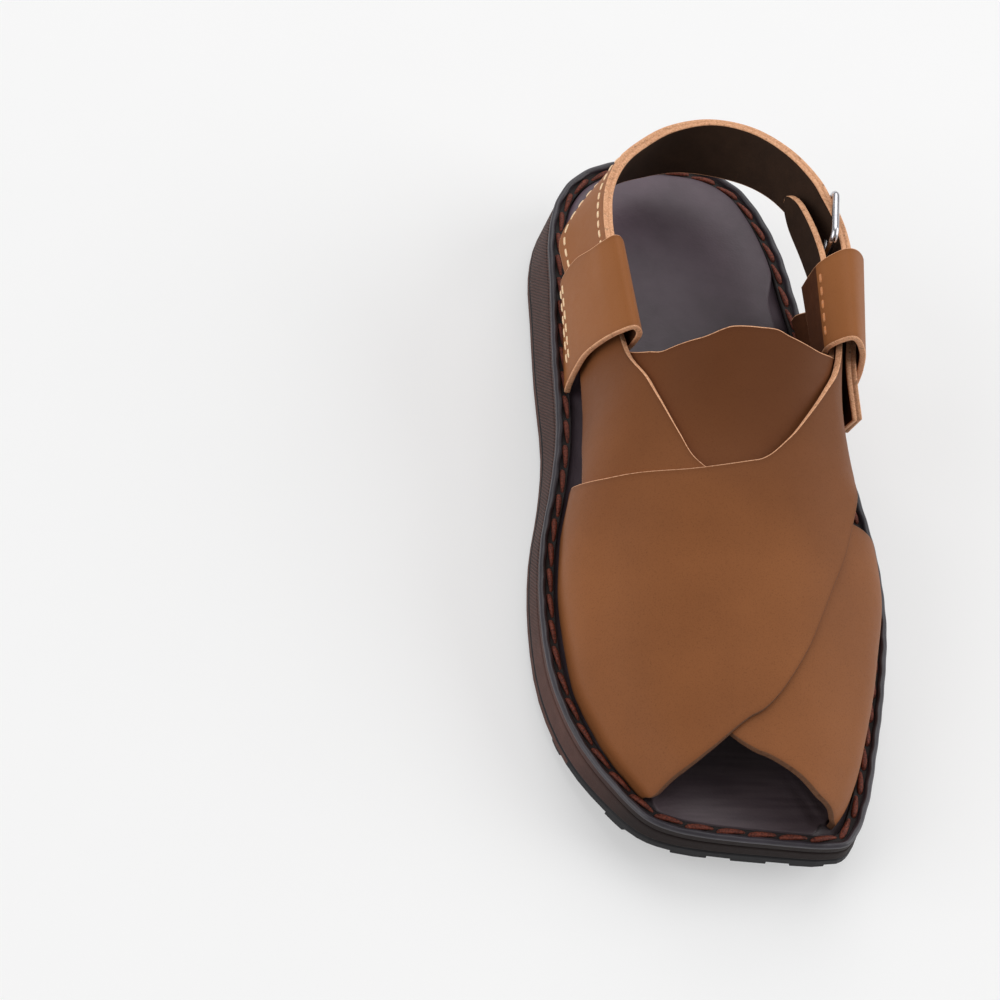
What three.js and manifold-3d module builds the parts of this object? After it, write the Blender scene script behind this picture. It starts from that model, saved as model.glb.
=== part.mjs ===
// Peshawari chappal, left shoe, in millimetres: a stitched leather sandal on a lugged rubber sole.
// Z is up, the toe points along -Y and the outer (lateral) side of the foot lies at +X.
// Lengths along the shoe are shares of the sole length counted from the back of the heel,
// and "over" runs from 0 at the inner (medial) edge of the sole over the foot to 1 at the outer edge.

import * as THREE from 'three';
import { mergeVertices } from 'three/addons/utils/BufferGeometryUtils.js';
import Module from 'manifold-3d';

const wasm = await Module();
wasm.setup();

// Driving dimensions of the sole
const soleLength = 293;
const ballWidth = 125;
const heelHeight = 30.5;
const ballHeight = 18;
const toeSpring = 10.5;
const toeSkive = 4.5;
const toeSkew = 0.075;
const toeSkewStart = 0.86;
const sideFlare = 0.11;
const rubberThickness = 2.4;
const weltThickness = 4.2;
const weltWidth = 5.4;
const weltRoll = 2.2;
const channelDepth = 2;
const insoleMargin = 3.4;
const insoleCrown = 0.9;
const jointStep = 0.5;
const padRim = 0.2;
const padRound = 1.8;
const padShoulder = 9;

// Driving dimensions of the tread
const lugDepth = 3;
const lugLength = 6.6;
const lugWidth = 11.7;
const lugPitchAlong = 15.2;
const lugPitchAcross = 19.8;
const lugStart = 4.6;
const lugShift = 6.6;
const lugInset = 1.2;
const leastLug = 0.05;
const lugBlocks = [3, 5, 6, 5];
const lugColumnsEachWay = 3;

// Driving dimensions of the leather
const instepHeight = 71;
const strapThickness = 2.2;
const tongueThickness = 2;
const loopThickness = 2.2;
const guardThickness = 2.2;
const heelStrapThickness = 3.6;
const crossingSink = 0.8;
const tongueGap = 0.45;
const strapGap = 1.5;
const padGap = 1.4;
const clearance = 0.3;

// Driving dimensions of the buckle
const buckleHeight = 28.8;
const buckleBar = 2.4;
const prongRadius = 1.1;
const holeRadius = 1.6;

// How finely the forms are drawn
const ringSteps = 3;
const crossSteps = 22;
const strapSteps = 10;
const heelStrapSteps = 54;
const guardSteps = 10;
const bandSteps = 2;
const cornerSteps = 4;
const prongSides = 8;
const slopeReach = 0.5;
const overReach = 0.002;
const mergeReach = 1e-4;
const meshTolerance = 0.01;

// Outline of the welt: half widths on both sides as shares of half the ball width
const outlineRows = [
  { along: 0.001, inner: 0.300, outer: 0.304 },
  { along: 0.028, inner: 0.522, outer: 0.492 },
  { along: 0.068, inner: 0.657, outer: 0.600 },
  { along: 0.131, inner: 0.738, outer: 0.689 },
  { along: 0.210, inner: 0.762, outer: 0.740 },
  { along: 0.312, inner: 0.789, outer: 0.810 },
  { along: 0.425, inner: 0.805, outer: 0.901 },
  { along: 0.500, inner: 0.863, outer: 0.955 },
  { along: 0.585, inner: 0.955, outer: 0.997 },
  { along: 0.677, inner: 0.998, outer: 0.979 },
  { along: 0.773, inner: 0.980, outer: 0.885 },
  { along: 0.858, inner: 0.878, outer: 0.766 },
  { along: 0.925, inner: 0.722, outer: 0.651 },
  { along: 0.967, inner: 0.577, outer: 0.540 },
  { along: 0.981, inner: 0.425, outer: 0.461 },
];
const soleAxis = 0.032;
const outlineEnds = { heel: -0.0065, toe: 0.987 };

// Insets run towards a spine between these two points of the sole, and are lengthened by no more than
// insetStretch
const spineEnds = { heel: 0.155, toe: 0.825 };
const insetStretch = 1.33;

// How far the wedge has risen from ball height (0) to heel height (1)
const wedgeRows = [
  { along: 0.00, rise: 1.00 },
  { along: 0.15, rise: 0.90 },
  { along: 0.29, rise: 0.68 },
  { along: 0.43, rise: 0.36 },
  { along: 0.57, rise: 0.10 },
  { along: 0.70, rise: 0.00 },
  { along: 1.00, rise: 0.00 },
];
// Where the padded footbed reaches out to the welt: along the shoe at the heel, and as shares of half the
// ball width at the toe
const padReach = {
  heel: { from: 0.16, to: 0.225 },
  toe: { inner: 0.56, outer: 0.34, blend: 0.13 },
};
const springStart = 0.735;
const skiveStart = 0.80;

// Form of the foot above the insole: height as a share of the instep height, the rest of the ball width.
// lean moves the ridge outwards, bulge pushes each side wall out, square is the exponent of the outer wall.
const footRows = [
  { along: 0.227, height: 1.183, lean: 0.040, bulgeIn: 0.016, bulgeOut: 0.000, square: 0.50 },
  { along: 0.346, height: 1.113, lean: 0.040, bulgeIn: 0.022, bulgeOut: -0.016, square: 0.50 },
  { along: 0.432, height: 1.000, lean: 0.021, bulgeIn: 0.018, bulgeOut: -0.048, square: 0.56 },
  { along: 0.500, height: 0.901, lean: 0.000, bulgeIn: 0.016, bulgeOut: -0.056, square: 0.65 },
  { along: 0.568, height: 0.812, lean: -0.009, bulgeIn: 0.016, bulgeOut: -0.040, square: 0.75 },
  { along: 0.613, height: 0.775, lean: -0.013, bulgeIn: 0.016, bulgeOut: 0.000, square: 0.80 },
  { along: 0.705, height: 0.634, lean: -0.012, bulgeIn: 0.012, bulgeOut: 0.022, square: 0.80 },
  { along: 0.807, height: 0.479, lean: 0.000, bulgeIn: 0.008, bulgeOut: 0.022, square: 0.80 },
  { along: 0.892, height: 0.366, lean: 0.000, bulgeIn: 0.005, bulgeOut: 0.018, square: 0.80 },
  { along: 0.995, height: 0.296, lean: 0.000, bulgeIn: 0.004, bulgeOut: 0.008, square: 0.80 },
];
const innerSquare = 0.80;
const archPower = 0.86;
const formEnds = { heel: 0.03, toe: 0.985 };
const coreHeight = 25;

// Inner cross strap: rear and front edges from the outer sole edge up to the inner loop
const underStrapRows = [
  { rear: 0.595, rearOver: 1.000, front: 0.957, frontOver: 1.000 },
  { rear: 0.622, rearOver: 0.880, front: 0.966, frontOver: 0.860 },
  { rear: 0.634, rearOver: 0.760, front: 0.962, frontOver: 0.700 },
  { rear: 0.640, rearOver: 0.620, front: 0.938, frontOver: 0.575 },
  { rear: 0.625, rearOver: 0.500, front: 0.898, frontOver: 0.450 },
  { rear: 0.592, rearOver: 0.415, front: 0.800, frontOver: 0.345 },
  { rear: 0.553, rearOver: 0.370, front: 0.690, frontOver: 0.250 },
  { rear: 0.480, rearOver: 0.280, front: 0.550, frontOver: 0.115 },
  { rear: 0.425, rearOver: 0.205, front: 0.440, frontOver: 0.045 },
  { rear: 0.350, rearOver: 0.160, front: 0.350, frontOver: 0.035 },
];

// Outer cross strap: rear and front edges from the inner sole edge up to the outer loop
const overStrapRows = [
  { rear: 0.510, rearOver: 0.000, front: 0.926, frontOver: 0.000 },
  { rear: 0.555, rearOver: 0.100, front: 0.938, frontOver: 0.110 },
  { rear: 0.590, rearOver: 0.250, front: 0.932, frontOver: 0.240 },
  { rear: 0.603, rearOver: 0.400, front: 0.912, frontOver: 0.380 },
  { rear: 0.594, rearOver: 0.497, front: 0.870, frontOver: 0.505 },
  { rear: 0.563, rearOver: 0.542, front: 0.800, frontOver: 0.595 },
  { rear: 0.529, rearOver: 0.579, front: 0.700, frontOver: 0.664 },
  { rear: 0.497, rearOver: 0.620, front: 0.620, frontOver: 0.720 },
  { rear: 0.460, rearOver: 0.676, front: 0.520, frontOver: 0.840 },
  { rear: 0.415, rearOver: 0.714, front: 0.445, frontOver: 0.890 },
  { rear: 0.360, rearOver: 0.725, front: 0.360, frontOver: 0.900 },
];

// Tongue: rear (wavy top) and front (hidden) edges from the inner loop to the outer loop
const tongueRows = [
  { rear: 0.385, rearOver: 0.150, front: 0.385, frontOver: 0.060 },
  { rear: 0.415, rearOver: 0.188, front: 0.440, frontOver: 0.080 },
  { rear: 0.436, rearOver: 0.250, front: 0.530, frontOver: 0.160 },
  { rear: 0.446, rearOver: 0.300, front: 0.600, frontOver: 0.270 },
  { rear: 0.446, rearOver: 0.378, front: 0.635, frontOver: 0.380 },
  { rear: 0.438, rearOver: 0.451, front: 0.645, frontOver: 0.470 },
  { rear: 0.439, rearOver: 0.500, front: 0.640, frontOver: 0.540 },
  { rear: 0.447, rearOver: 0.525, front: 0.620, frontOver: 0.600 },
  { rear: 0.456, rearOver: 0.600, front: 0.560, frontOver: 0.700 },
  { rear: 0.430, rearOver: 0.735, front: 0.460, frontOver: 0.820 },
  { rear: 0.360, rearOver: 0.745, front: 0.360, frontOver: 0.880 },
];

// Bands in space, by their two edges. Side is a share of half the ball width, up a share of the
// instep height above the floor. The heel strap runs from inside the inner loop round the heel, through
// the buckle and the outer loop to its free tail.
const heelStrapRows = [
  { topAlong: 0.333, topSide: -0.598, topUp: 1.000, lowAlong: 0.309, lowSide: -0.666, lowUp: 0.493 },
  { topAlong: 0.302, topSide: -0.605, topUp: 1.011, lowAlong: 0.275, lowSide: -0.672, lowUp: 0.500 },
  { topAlong: 0.275, topSide: -0.606, topUp: 1.021, lowAlong: 0.234, lowSide: -0.677, lowUp: 0.507 },
  { topAlong: 0.227, topSide: -0.589, topUp: 0.986, lowAlong: 0.200, lowSide: -0.693, lowUp: 0.500 },
  { topAlong: 0.162, topSide: -0.528, topUp: 0.930, lowAlong: 0.166, lowSide: -0.696, lowUp: 0.507 },
  { topAlong: 0.113, topSide: -0.426, topUp: 0.904, lowAlong: 0.138, lowSide: -0.616, lowUp: 0.592 },
  { topAlong: 0.072, topSide: -0.277, topUp: 0.868, lowAlong: 0.090, lowSide: -0.432, lowUp: 0.620 },
  { topAlong: 0.045, topSide: -0.090, topUp: 0.890, lowAlong: 0.056, lowSide: -0.192, lowUp: 0.577 },
  { topAlong: 0.039, topSide: 0.138, topUp: 0.941, lowAlong: 0.049, lowSide: 0.048, lowUp: 0.606 },
  { topAlong: 0.060, topSide: 0.352, topUp: 1.000, lowAlong: 0.070, lowSide: 0.352, lowUp: 0.662 },
  { topAlong: 0.114, topSide: 0.528, topUp: 1.085, lowAlong: 0.111, lowSide: 0.512, lowUp: 0.746 },
  { topAlong: 0.169, topSide: 0.643, topUp: 1.124, lowAlong: 0.164, lowSide: 0.621, lowUp: 0.806 },
  { topAlong: 0.191, topSide: 0.686, topUp: 1.111, lowAlong: 0.189, lowSide: 0.672, lowUp: 0.808 },
  { topAlong: 0.220, topSide: 0.730, topUp: 1.101, lowAlong: 0.220, lowSide: 0.726, lowUp: 0.807 },
  { topAlong: 0.251, topSide: 0.755, topUp: 1.087, lowAlong: 0.251, lowSide: 0.760, lowUp: 0.803 },
  { topAlong: 0.288, topSide: 0.760, topUp: 1.070, lowAlong: 0.288, lowSide: 0.778, lowUp: 0.782 },
  { topAlong: 0.336, topSide: 0.746, topUp: 1.049, lowAlong: 0.336, lowSide: 0.774, lowUp: 0.761 },
  { topAlong: 0.384, topSide: 0.718, topUp: 1.028, lowAlong: 0.384, lowSide: 0.765, lowUp: 0.732 },
  { topAlong: 0.432, topSide: 0.694, topUp: 0.979, lowAlong: 0.428, lowSide: 0.762, lowUp: 0.676 },
  { topAlong: 0.483, topSide: 0.746, topUp: 0.831, lowAlong: 0.462, lowSide: 0.758, lowUp: 0.620 },
];

// Middles of the buckle's bars, the front one first
const buckleRows = [
  { along: 0.259, side: 0.677, height: 0.951 },
  { along: 0.185, side: 0.739, height: 0.951 },
];

// Buckle guard, from inside the outer loop to its free rounded end
const guardRows = [
  { topAlong: 0.336, topSide: 0.605, topUp: 1.063, lowAlong: 0.336, lowSide: 0.645, lowUp: 0.831 },
  { topAlong: 0.302, topSide: 0.610, topUp: 1.070, lowAlong: 0.302, lowSide: 0.643, lowUp: 0.831 },
  { topAlong: 0.275, topSide: 0.613, topUp: 1.070, lowAlong: 0.275, lowSide: 0.638, lowUp: 0.824 },
  { topAlong: 0.234, topSide: 0.595, topUp: 1.063, lowAlong: 0.234, lowSide: 0.618, lowUp: 0.817 },
  { topAlong: 0.193, topSide: 0.563, topUp: 1.042, lowAlong: 0.193, lowSide: 0.579, lowUp: 0.824 },
  { topAlong: 0.155, topSide: 0.528, topUp: 1.000, lowAlong: 0.164, lowSide: 0.531, lowUp: 0.859 },
];

// Folded loops: from the stitch channel up the outer leg, over the fold and down the inner leg
const innerLoopRows = [
  { rearAlong: 0.229, rearSide: -0.686, rearUp: 0.393, foreAlong: 0.370, foreSide: -0.723, foreUp: 0.323 },
  { rearAlong: 0.229, rearSide: -0.693, rearUp: 0.435, foreAlong: 0.370, foreSide: -0.726, foreUp: 0.365 },
  { rearAlong: 0.230, rearSide: -0.723, rearUp: 0.493, foreAlong: 0.375, foreSide: -0.733, foreUp: 0.451 },
  { rearAlong: 0.235, rearSide: -0.725, rearUp: 0.606, foreAlong: 0.381, foreSide: -0.736, foreUp: 0.563 },
  { rearAlong: 0.246, rearSide: -0.710, rearUp: 0.761, foreAlong: 0.387, foreSide: -0.726, foreUp: 0.704 },
  { rearAlong: 0.263, rearSide: -0.686, rearUp: 0.901, foreAlong: 0.403, foreSide: -0.685, foreUp: 0.901 },
  { rearAlong: 0.275, rearSide: -0.659, rearUp: 1.018, foreAlong: 0.413, foreSide: -0.635, foreUp: 1.018 },
  { rearAlong: 0.278, rearSide: -0.606, rearUp: 1.087, foreAlong: 0.418, foreSide: -0.573, foreUp: 1.085 },
  { rearAlong: 0.275, rearSide: -0.555, rearUp: 1.028, foreAlong: 0.414, foreSide: -0.525, foreUp: 1.028 },
  { rearAlong: 0.265, rearSide: -0.568, rearUp: 0.901, foreAlong: 0.404, foreSide: -0.515, foreUp: 0.901 },
  { rearAlong: 0.247, rearSide: -0.598, rearUp: 0.704, foreAlong: 0.391, foreSide: -0.522, foreUp: 0.761 },
];
const outerLoopRows = [
  { rearAlong: 0.241, rearSide: 0.701, rearUp: 0.385, foreAlong: 0.398, foreSide: 0.805, foreUp: 0.310 },
  { rearAlong: 0.241, rearSide: 0.710, rearUp: 0.423, foreAlong: 0.398, foreSide: 0.806, foreUp: 0.352 },
  { rearAlong: 0.254, rearSide: 0.768, rearUp: 0.535, foreAlong: 0.404, foreSide: 0.816, foreUp: 0.479 },
  { rearAlong: 0.271, rearSide: 0.821, rearUp: 0.676, foreAlong: 0.411, foreSide: 0.816, foreUp: 0.634 },
  { rearAlong: 0.282, rearSide: 0.848, rearUp: 0.831, foreAlong: 0.420, foreSide: 0.797, foreUp: 0.789 },
  { rearAlong: 0.285, rearSide: 0.848, rearUp: 0.986, foreAlong: 0.428, foreSide: 0.765, foreUp: 0.944 },
  { rearAlong: 0.288, rearSide: 0.808, rearUp: 1.120, foreAlong: 0.433, foreSide: 0.714, foreUp: 1.099 },
  { rearAlong: 0.304, rearSide: 0.672, rearUp: 1.239, foreAlong: 0.441, foreSide: 0.605, foreUp: 1.231 },
  { rearAlong: 0.311, rearSide: 0.552, rearUp: 1.169, foreAlong: 0.435, foreSide: 0.517, foreUp: 1.134 },
  { rearAlong: 0.309, rearSide: 0.528, rearUp: 1.056, foreAlong: 0.428, foreSide: 0.518, foreUp: 1.028 },
  { rearAlong: 0.302, rearSide: 0.531, rearUp: 0.930, foreAlong: 0.418, foreSide: 0.531, foreUp: 0.901 },
];

// Monotone cubic curve through the rows of a table, for one of its columns
function curve(rows, column, from = 'along') {
  const x = rows.map((row) => row[from]);
  const y = rows.map((row) => row[column]);
  const last = x.length - 1;
  const step = x.slice(1).map((value, i) => value - x[i]);
  const slope = step.map((h, i) => (y[i + 1] - y[i]) / h);
  const tangent = y.map((_, i) => {
    if (i === 0 || i === last) return slope[i === 0 ? 0 : last - 1];
    if (slope[i - 1] * slope[i] <= 0) return 0;
    const a = 2 * step[i] + step[i - 1];
    const b = step[i] + 2 * step[i - 1];
    return (a + b) / (a / slope[i - 1] + b / slope[i]);
  });
  return (at) => {
    const value = THREE.MathUtils.clamp(at, x[0], x[last]);
    let i = 0;
    while (i < last - 1 && value > x[i + 1]) i += 1;
    const h = step[i];
    const t = (value - x[i]) / h;
    const rest = 1 - t;
    return rest * rest * (1 + 2 * t) * y[i] + t * t * (3 - 2 * t) * y[i + 1]
      + t * rest * h * (rest * tangent[i] - t * tangent[i + 1]);
  };
}

const alongOf = (y) => 0.5 - y / soleLength;
const yOf = (along) => (0.5 - along) * soleLength;

// Heights of the sole along the shoe
const wedgeRise = curve(wedgeRows, 'rise');
const past = (along, start) => Math.max(0, (along - start) / (1 - start)) ** 2;
const springAt = (y) => toeSpring * past(alongOf(y), springStart);
const weltTop = (y) => ballHeight + wedgeRise(alongOf(y)) * (heelHeight - ballHeight)
  + springAt(y) - toeSkive * past(alongOf(y), skiveStart);

// Outline of the welt as a closed run of points that starts at the back of the heel
function outline() {
  const half = ballWidth / 2;
  const place = (along, side) => {
    const swing = toeSkew * side * THREE.MathUtils.smoothstep(along, toeSkewStart, 1);
    return new THREE.Vector3(side, yOf(along) - swing, 0);
  };
  const innerSide = outlineRows.map((row) => place(row.along, -row.inner * half));
  const outerSide = outlineRows.map((row) => place(row.along, row.outer * half)).reverse();
  const heelBack = new THREE.Vector3(soleAxis * half, yOf(outlineEnds.heel), 0);
  const toeFront = new THREE.Vector3(soleAxis * half, yOf(outlineEnds.toe), 0);
  const anchors = [heelBack, ...innerSide, toeFront, ...outerSide];
  const closed = new THREE.CatmullRomCurve3(anchors, true, 'centripetal');
  return closed.getPoints(anchors.length * ringSteps).slice(0, -1);
}

const edge = outline();

// Inward direction of each outline point, towards the spine of the sole, lengthened to a true inset
const inward = edge.map((point, i) => {
  const before = edge[(i + edge.length - 1) % edge.length];
  const after = edge[(i + 1) % edge.length];
  const normal = new THREE.Vector3(before.y - after.y, after.x - before.x, 0).normalize();
  const spineY = THREE.MathUtils.clamp(point.y, yOf(spineEnds.toe), yOf(spineEnds.heel));
  const toSpine = new THREE.Vector3(soleAxis * ballWidth / 2, spineY, 0).sub(point).normalize();
  return toSpine.divideScalar(Math.max(1 / insetStretch, Math.abs(normal.dot(toSpine))));
});

// One closed ring of the sole, inset from the welt's outline. The inset may change from point to point,
// and the height is worked out along the shoe.
function ring(inset, heightAt) {
  const insetAt = typeof inset === 'function' ? inset : () => inset;
  return edge.map((point, i) => {
    const placed = point.clone().addScaledVector(inward[i], insetAt(point));
    const height = heightAt(placed.y);
    const flare = sideFlare * Math.max(0, weltTop(placed.y) - weltThickness - height);
    placed.addScaledVector(inward[i], -flare);
    placed.z = height;
    return placed;
  });
}

// Mesh from triangles, turned so that its faces point out
function meshOf(points, triangles) {
  const geometry = new THREE.BufferGeometry().setFromPoints(points);
  const a = new THREE.Vector3();
  let volume = 0;
  for (const [i, j, k] of triangles) volume += a.crossVectors(points[j], points[k]).dot(points[i]);
  const facing = volume < 0 ? triangles.map(([i, j, k]) => [i, k, j]) : triangles;
  geometry.setIndex(facing.flat());
  return geometry;
}

// Triangles that bridge two runs of points of equal length
function bridge(first, second, count, closed) {
  const triangles = [];
  for (let i = 0; i < (closed ? count : count - 1); i += 1) {
    const next = (i + 1) % count;
    triangles.push([first + i, first + next, second + next], [first + i, second + next, second + i]);
  }
  return triangles;
}

// Solid from a stack of rings, with end caps made of strips from side to side
function stack(rings) {
  const count = rings[0].length;
  const triangles = [];
  rings.slice(1).forEach((_, i) => triangles.push(...bridge(i * count, (i + 1) * count, count, true)));
  const cap = (start, flip) => {
    for (let i = 0; i < count / 2; i += 1) {
      const a = start + i;
      const b = start + i + 1;
      const c = start + ((count - i - 1) % count);
      const d = start + ((count - i) % count);
      const faces = [[a, b, c], [a, c, d]].filter(([p, q, r]) => p !== q && q !== r && p !== r);
      triangles.push(...(flip ? faces.map(([p, q, r]) => [p, r, q]) : faces));
    }
  };
  cap(0, true);
  cap((rings.length - 1) * count, false);
  return meshOf(rings.flat(), triangles);
}

// Closed ring-shaped solid: a profile of insets and drops from the welt's top swept round the sole
function rand(profile) {
  const rings = profile.map(({ inset, drop }) => ring(inset, (y) => weltTop(y) - drop));
  const count = edge.length;
  const triangles = [];
  rings.forEach((_, i) => {
    const next = (i + 1) % rings.length;
    triangles.push(...bridge(i * count, next * count, count, true));
  });
  return meshOf(rings.flat(), triangles);
}

// Point of the foot form: y along the shoe, over from the inner to the outer edge, raised by an offset
const footHeight = curve(footRows, 'height');
const footLean = curve(footRows, 'lean');
const footBulge = { inner: curve(footRows, 'bulgeIn'), outer: curve(footRows, 'bulgeOut') };
const footSquare = curve(footRows, 'square');
const halfWidth = { inner: curve(outlineRows, 'inner'), outer: curve(outlineRows, 'outer') };
const strapInset = weltWidth + strapThickness + strapGap;

function sideOf(y, side) {
  const half = (at) => halfWidth[side](alongOf(at)) * ballWidth / 2;
  const slope = (half(y + slopeReach) - half(y - slopeReach)) / (2 * slopeReach);
  return half(y) - strapInset * Math.hypot(1, slope);
}

function footBase(y, over) {
  const along = alongOf(y);
  const held = THREE.MathUtils.clamp(y, yOf(formEnds.toe), yOf(formEnds.heel));
  const angle = Math.PI * over;
  const across = Math.cos(angle);
  const rise = Math.max(0, Math.sin(angle));
  const inner = -sideOf(held, 'inner');
  const outer = sideOf(held, 'outer');
  const power = across > 0 ? innerSquare : footSquare(along);
  const bulge = (across > 0 ? -footBulge.inner(along) : footBulge.outer(along)) * ballWidth;
  const x = (inner + outer) / 2 - (outer - inner) / 2 * Math.sign(across) * Math.abs(across) ** power
    + footLean(along) * ballWidth * rise + bulge * Math.sin(Math.PI * rise);
  const z = weltTop(y) - insoleMargin + 2 * clearance + footHeight(along) * instepHeight * rise ** archPower;
  return new THREE.Vector3(x, y, z);
}

function onFoot(y, over, offset = 0) {
  const point = footBase(y, over);
  if (!offset) return point;
  const low = Math.max(0, over - overReach);
  const high = Math.min(1, over + overReach);
  const across = footBase(y, high).sub(footBase(y, low));
  const along = footBase(y - slopeReach, over).sub(footBase(y + slopeReach, over));
  const normal = across.cross(along).normalize();
  const outward = new THREE.Vector3(point.x, 0, point.z - coreHeight);
  return point.addScaledVector(normal, normal.dot(outward) < 0 ? -offset : offset);
}

// Leather sheet of even thickness about a middle surface
function leather(across, along, thickness, middle) {
  const points = [];
  const normals = [];
  for (let i = 0; i <= across; i += 1) {
    for (let j = 0; j <= along; j += 1) {
      const u = i / across;
      const v = j / along;
      const du = middle(Math.min(1, u + overReach), v).sub(middle(Math.max(0, u - overReach), v));
      const dv = middle(u, Math.min(1, v + overReach)).sub(middle(u, Math.max(0, v - overReach)));
      points.push(middle(u, v));
      normals.push(du.cross(dv).normalize());
    }
  }
  const shift = (offset) => points.map((point, i) => point.clone().addScaledVector(normals[i], offset));
  const row = along + 1;
  const size = points.length;
  const at = (face, i, j) => face * size + i * row + j;
  const triangles = [];
  const quad = (a, b, c, d) => triangles.push([a, b, c], [a, c, d]);
  for (let i = 0; i < across; i += 1) {
    for (let j = 0; j < along; j += 1) {
      quad(at(0, i, j), at(0, i + 1, j), at(0, i + 1, j + 1), at(0, i, j + 1));
      quad(at(1, i, j + 1), at(1, i + 1, j + 1), at(1, i + 1, j), at(1, i, j));
    }
    quad(at(1, i, 0), at(1, i + 1, 0), at(0, i + 1, 0), at(0, i, 0));
    quad(at(0, i, along), at(0, i + 1, along), at(1, i + 1, along), at(1, i, along));
  }
  for (let j = 0; j < along; j += 1) {
    quad(at(0, 0, j), at(0, 0, j + 1), at(1, 0, j + 1), at(1, 0, j));
    quad(at(1, across, j), at(1, across, j + 1), at(0, across, j + 1), at(0, across, j));
  }
  return meshOf([...shift(-thickness / 2), ...shift(thickness / 2)], triangles);
}

// Strap on the foot form between two edges given by a table, with its own height over the form
function strapOnFoot(rows, steps, thickness, heightOver) {
  const numbered = rows.map((row, i) => ({ ...row, at: i / (rows.length - 1) }));
  const [rear, rearOver, front, frontOver] = ['rear', 'rearOver', 'front', 'frontOver']
    .map((column) => curve(numbered, column, 'at'));
  return leather(steps, strapSteps, thickness, (u, v) => {
    const y = yOf(THREE.MathUtils.lerp(rear(u), front(u), v));
    const over = THREE.MathUtils.lerp(rearOver(u), frontOver(u), v);
    return onFoot(y, over, heightOver(y, over) + thickness / 2);
  });
}

// Band between the two edges that a table gives
function band(rows, edges, steps, across, thickness) {
  const [first, second] = edges.map((name) => {
    const points = rows.map((row) => placeRow(row, name));
    return new THREE.CatmullRomCurve3(points, false, 'centripetal');
  });
  return leather(steps, across, thickness, (u, v) => first.getPoint(u).lerp(second.getPoint(u), v));
}

function placeAt({ along, side, height }) {
  return new THREE.Vector3(side * ballWidth / 2, yOf(along), height * instepHeight);
}

function placeRow(row, edgeName) {
  const [along, side, height] = ['Along', 'Side', 'Up'].map((column) => row[edgeName + column]);
  return placeAt({ along, side, height });
}

// Booleans
function solid(geometry) {
  const bare = new THREE.BufferGeometry();
  bare.setAttribute('position', geometry.getAttribute('position').clone());
  if (geometry.index) bare.setIndex(geometry.index.clone());
  const merged = mergeVertices(bare, mergeReach);
  return new wasm.Manifold(new wasm.Mesh({
    numProp: 3,
    vertProperties: Float32Array.from(merged.getAttribute('position').array),
    triVerts: Uint32Array.from(merged.index.array),
  }));
}

function geometryOf(body) {
  const mesh = body.simplify(meshTolerance).getMesh();
  const geometry = new THREE.BufferGeometry();
  geometry.setAttribute('position', new THREE.BufferAttribute(mesh.vertProperties, 3));
  geometry.setIndex(new THREE.BufferAttribute(mesh.triVerts, 1));
  return geometry;
}

// Outsole: a rubber sheet with a small step near its top, and lugs that follow the toe spring
const outsoleTop = (y) => springAt(y) + lugDepth + rubberThickness;

function lug(x, y) {
  const root = lugDepth + rubberThickness / 2;
  const box = new THREE.BoxGeometry(lugWidth, lugLength, root).translate(x, y, root / 2);
  const position = box.getAttribute('position');
  for (let i = 0; i < position.count; i += 1) {
    position.setZ(i, position.getZ(i) + springAt(position.getY(i)));
  }
  return solid(box);
}

// Lugs inside the trimmed outline. Those that it cuts down to less than leastLug are left out.
function lugs(trim) {
  const bodies = [];
  let column = 0;
  lugBlocks.forEach((columns, block) => {
    for (let row = 0; row < columns; row += 1, column += 1) {
      const y = yOf(1) + lugStart + column * lugPitchAlong;
      const shift = block % 2 ? lugShift : 0;
      for (let i = -lugColumnsEachWay; i <= lugColumnsEachWay; i += 1) {
        const x = shift + i * lugPitchAcross;
        const whole = lug(x, y);
        const kept = whole.intersect(trim);
        if (kept.volume() > leastLug * whole.volume()) bodies.push(kept);
      }
    }
  });
  return bodies.reduce((all, body) => all.add(body));
}

function outsoleGeometry() {
  const sheetBottom = (y) => springAt(y) + lugDepth;
  const sheet = solid(stack([
    ring(0, sheetBottom),
    ring(0, (y) => outsoleTop(y) - jointStep),
    ring(jointStep, outsoleTop),
  ]));
  const trim = solid(stack([ring(lugInset, (y) => springAt(y) - 1), ring(lugInset, outsoleTop)]));
  return geometryOf(lugs(trim).add(sheet));
}

// Midsole: the brown wedge, its long edges broken so that the layers of the side show
function midsoleGeometry() {
  const bottom = (y) => outsoleTop(y) + clearance;
  const top = (y) => weltTop(y) - weltThickness - clearance;
  return stack([
    ring(jointStep, bottom),
    ring(0, (y) => bottom(y) + jointStep),
    ring(0, (y) => top(y) - jointStep),
    ring(jointStep, top),
  ]);
}

// Welt: a rolled rand with the stitch channel inside it
function weltGeometry() {
  const roll = weltRoll / 2;
  const side = jointStep / 2;
  return rand([
    { inset: side, drop: weltThickness },
    { inset: side, drop: 2 * roll },
    { inset: 0, drop: 1.2 * roll },
    { inset: 0.5 * roll, drop: 0.2 * roll },
    { inset: 1.5 * roll, drop: 0.2 * roll },
    { inset: weltRoll, drop: channelDepth },
    { inset: weltWidth, drop: channelDepth },
    { inset: weltWidth, drop: weltThickness },
  ]);
}

// Inset of the padded footbed: wide where straps stand beside it, and close to the welt at heel and toe
function padInset({ x, y }) {
  const along = alongOf(y);
  const side = x / (ballWidth / 2);
  const { heel, toe } = padReach;
  const atHeel = 1 - THREE.MathUtils.smoothstep(along, heel.from, heel.to);
  const atToe = along > 0.5
    ? THREE.MathUtils.smoothstep(side, -toe.inner - toe.blend, -toe.inner)
      * (1 - THREE.MathUtils.smoothstep(side, toe.outer, toe.outer + toe.blend))
    : 0;
  const beside = strapInset + clearance + padGap;
  return THREE.MathUtils.lerp(beside, weltWidth + 2 * clearance, Math.max(atHeel, atToe));
}

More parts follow.
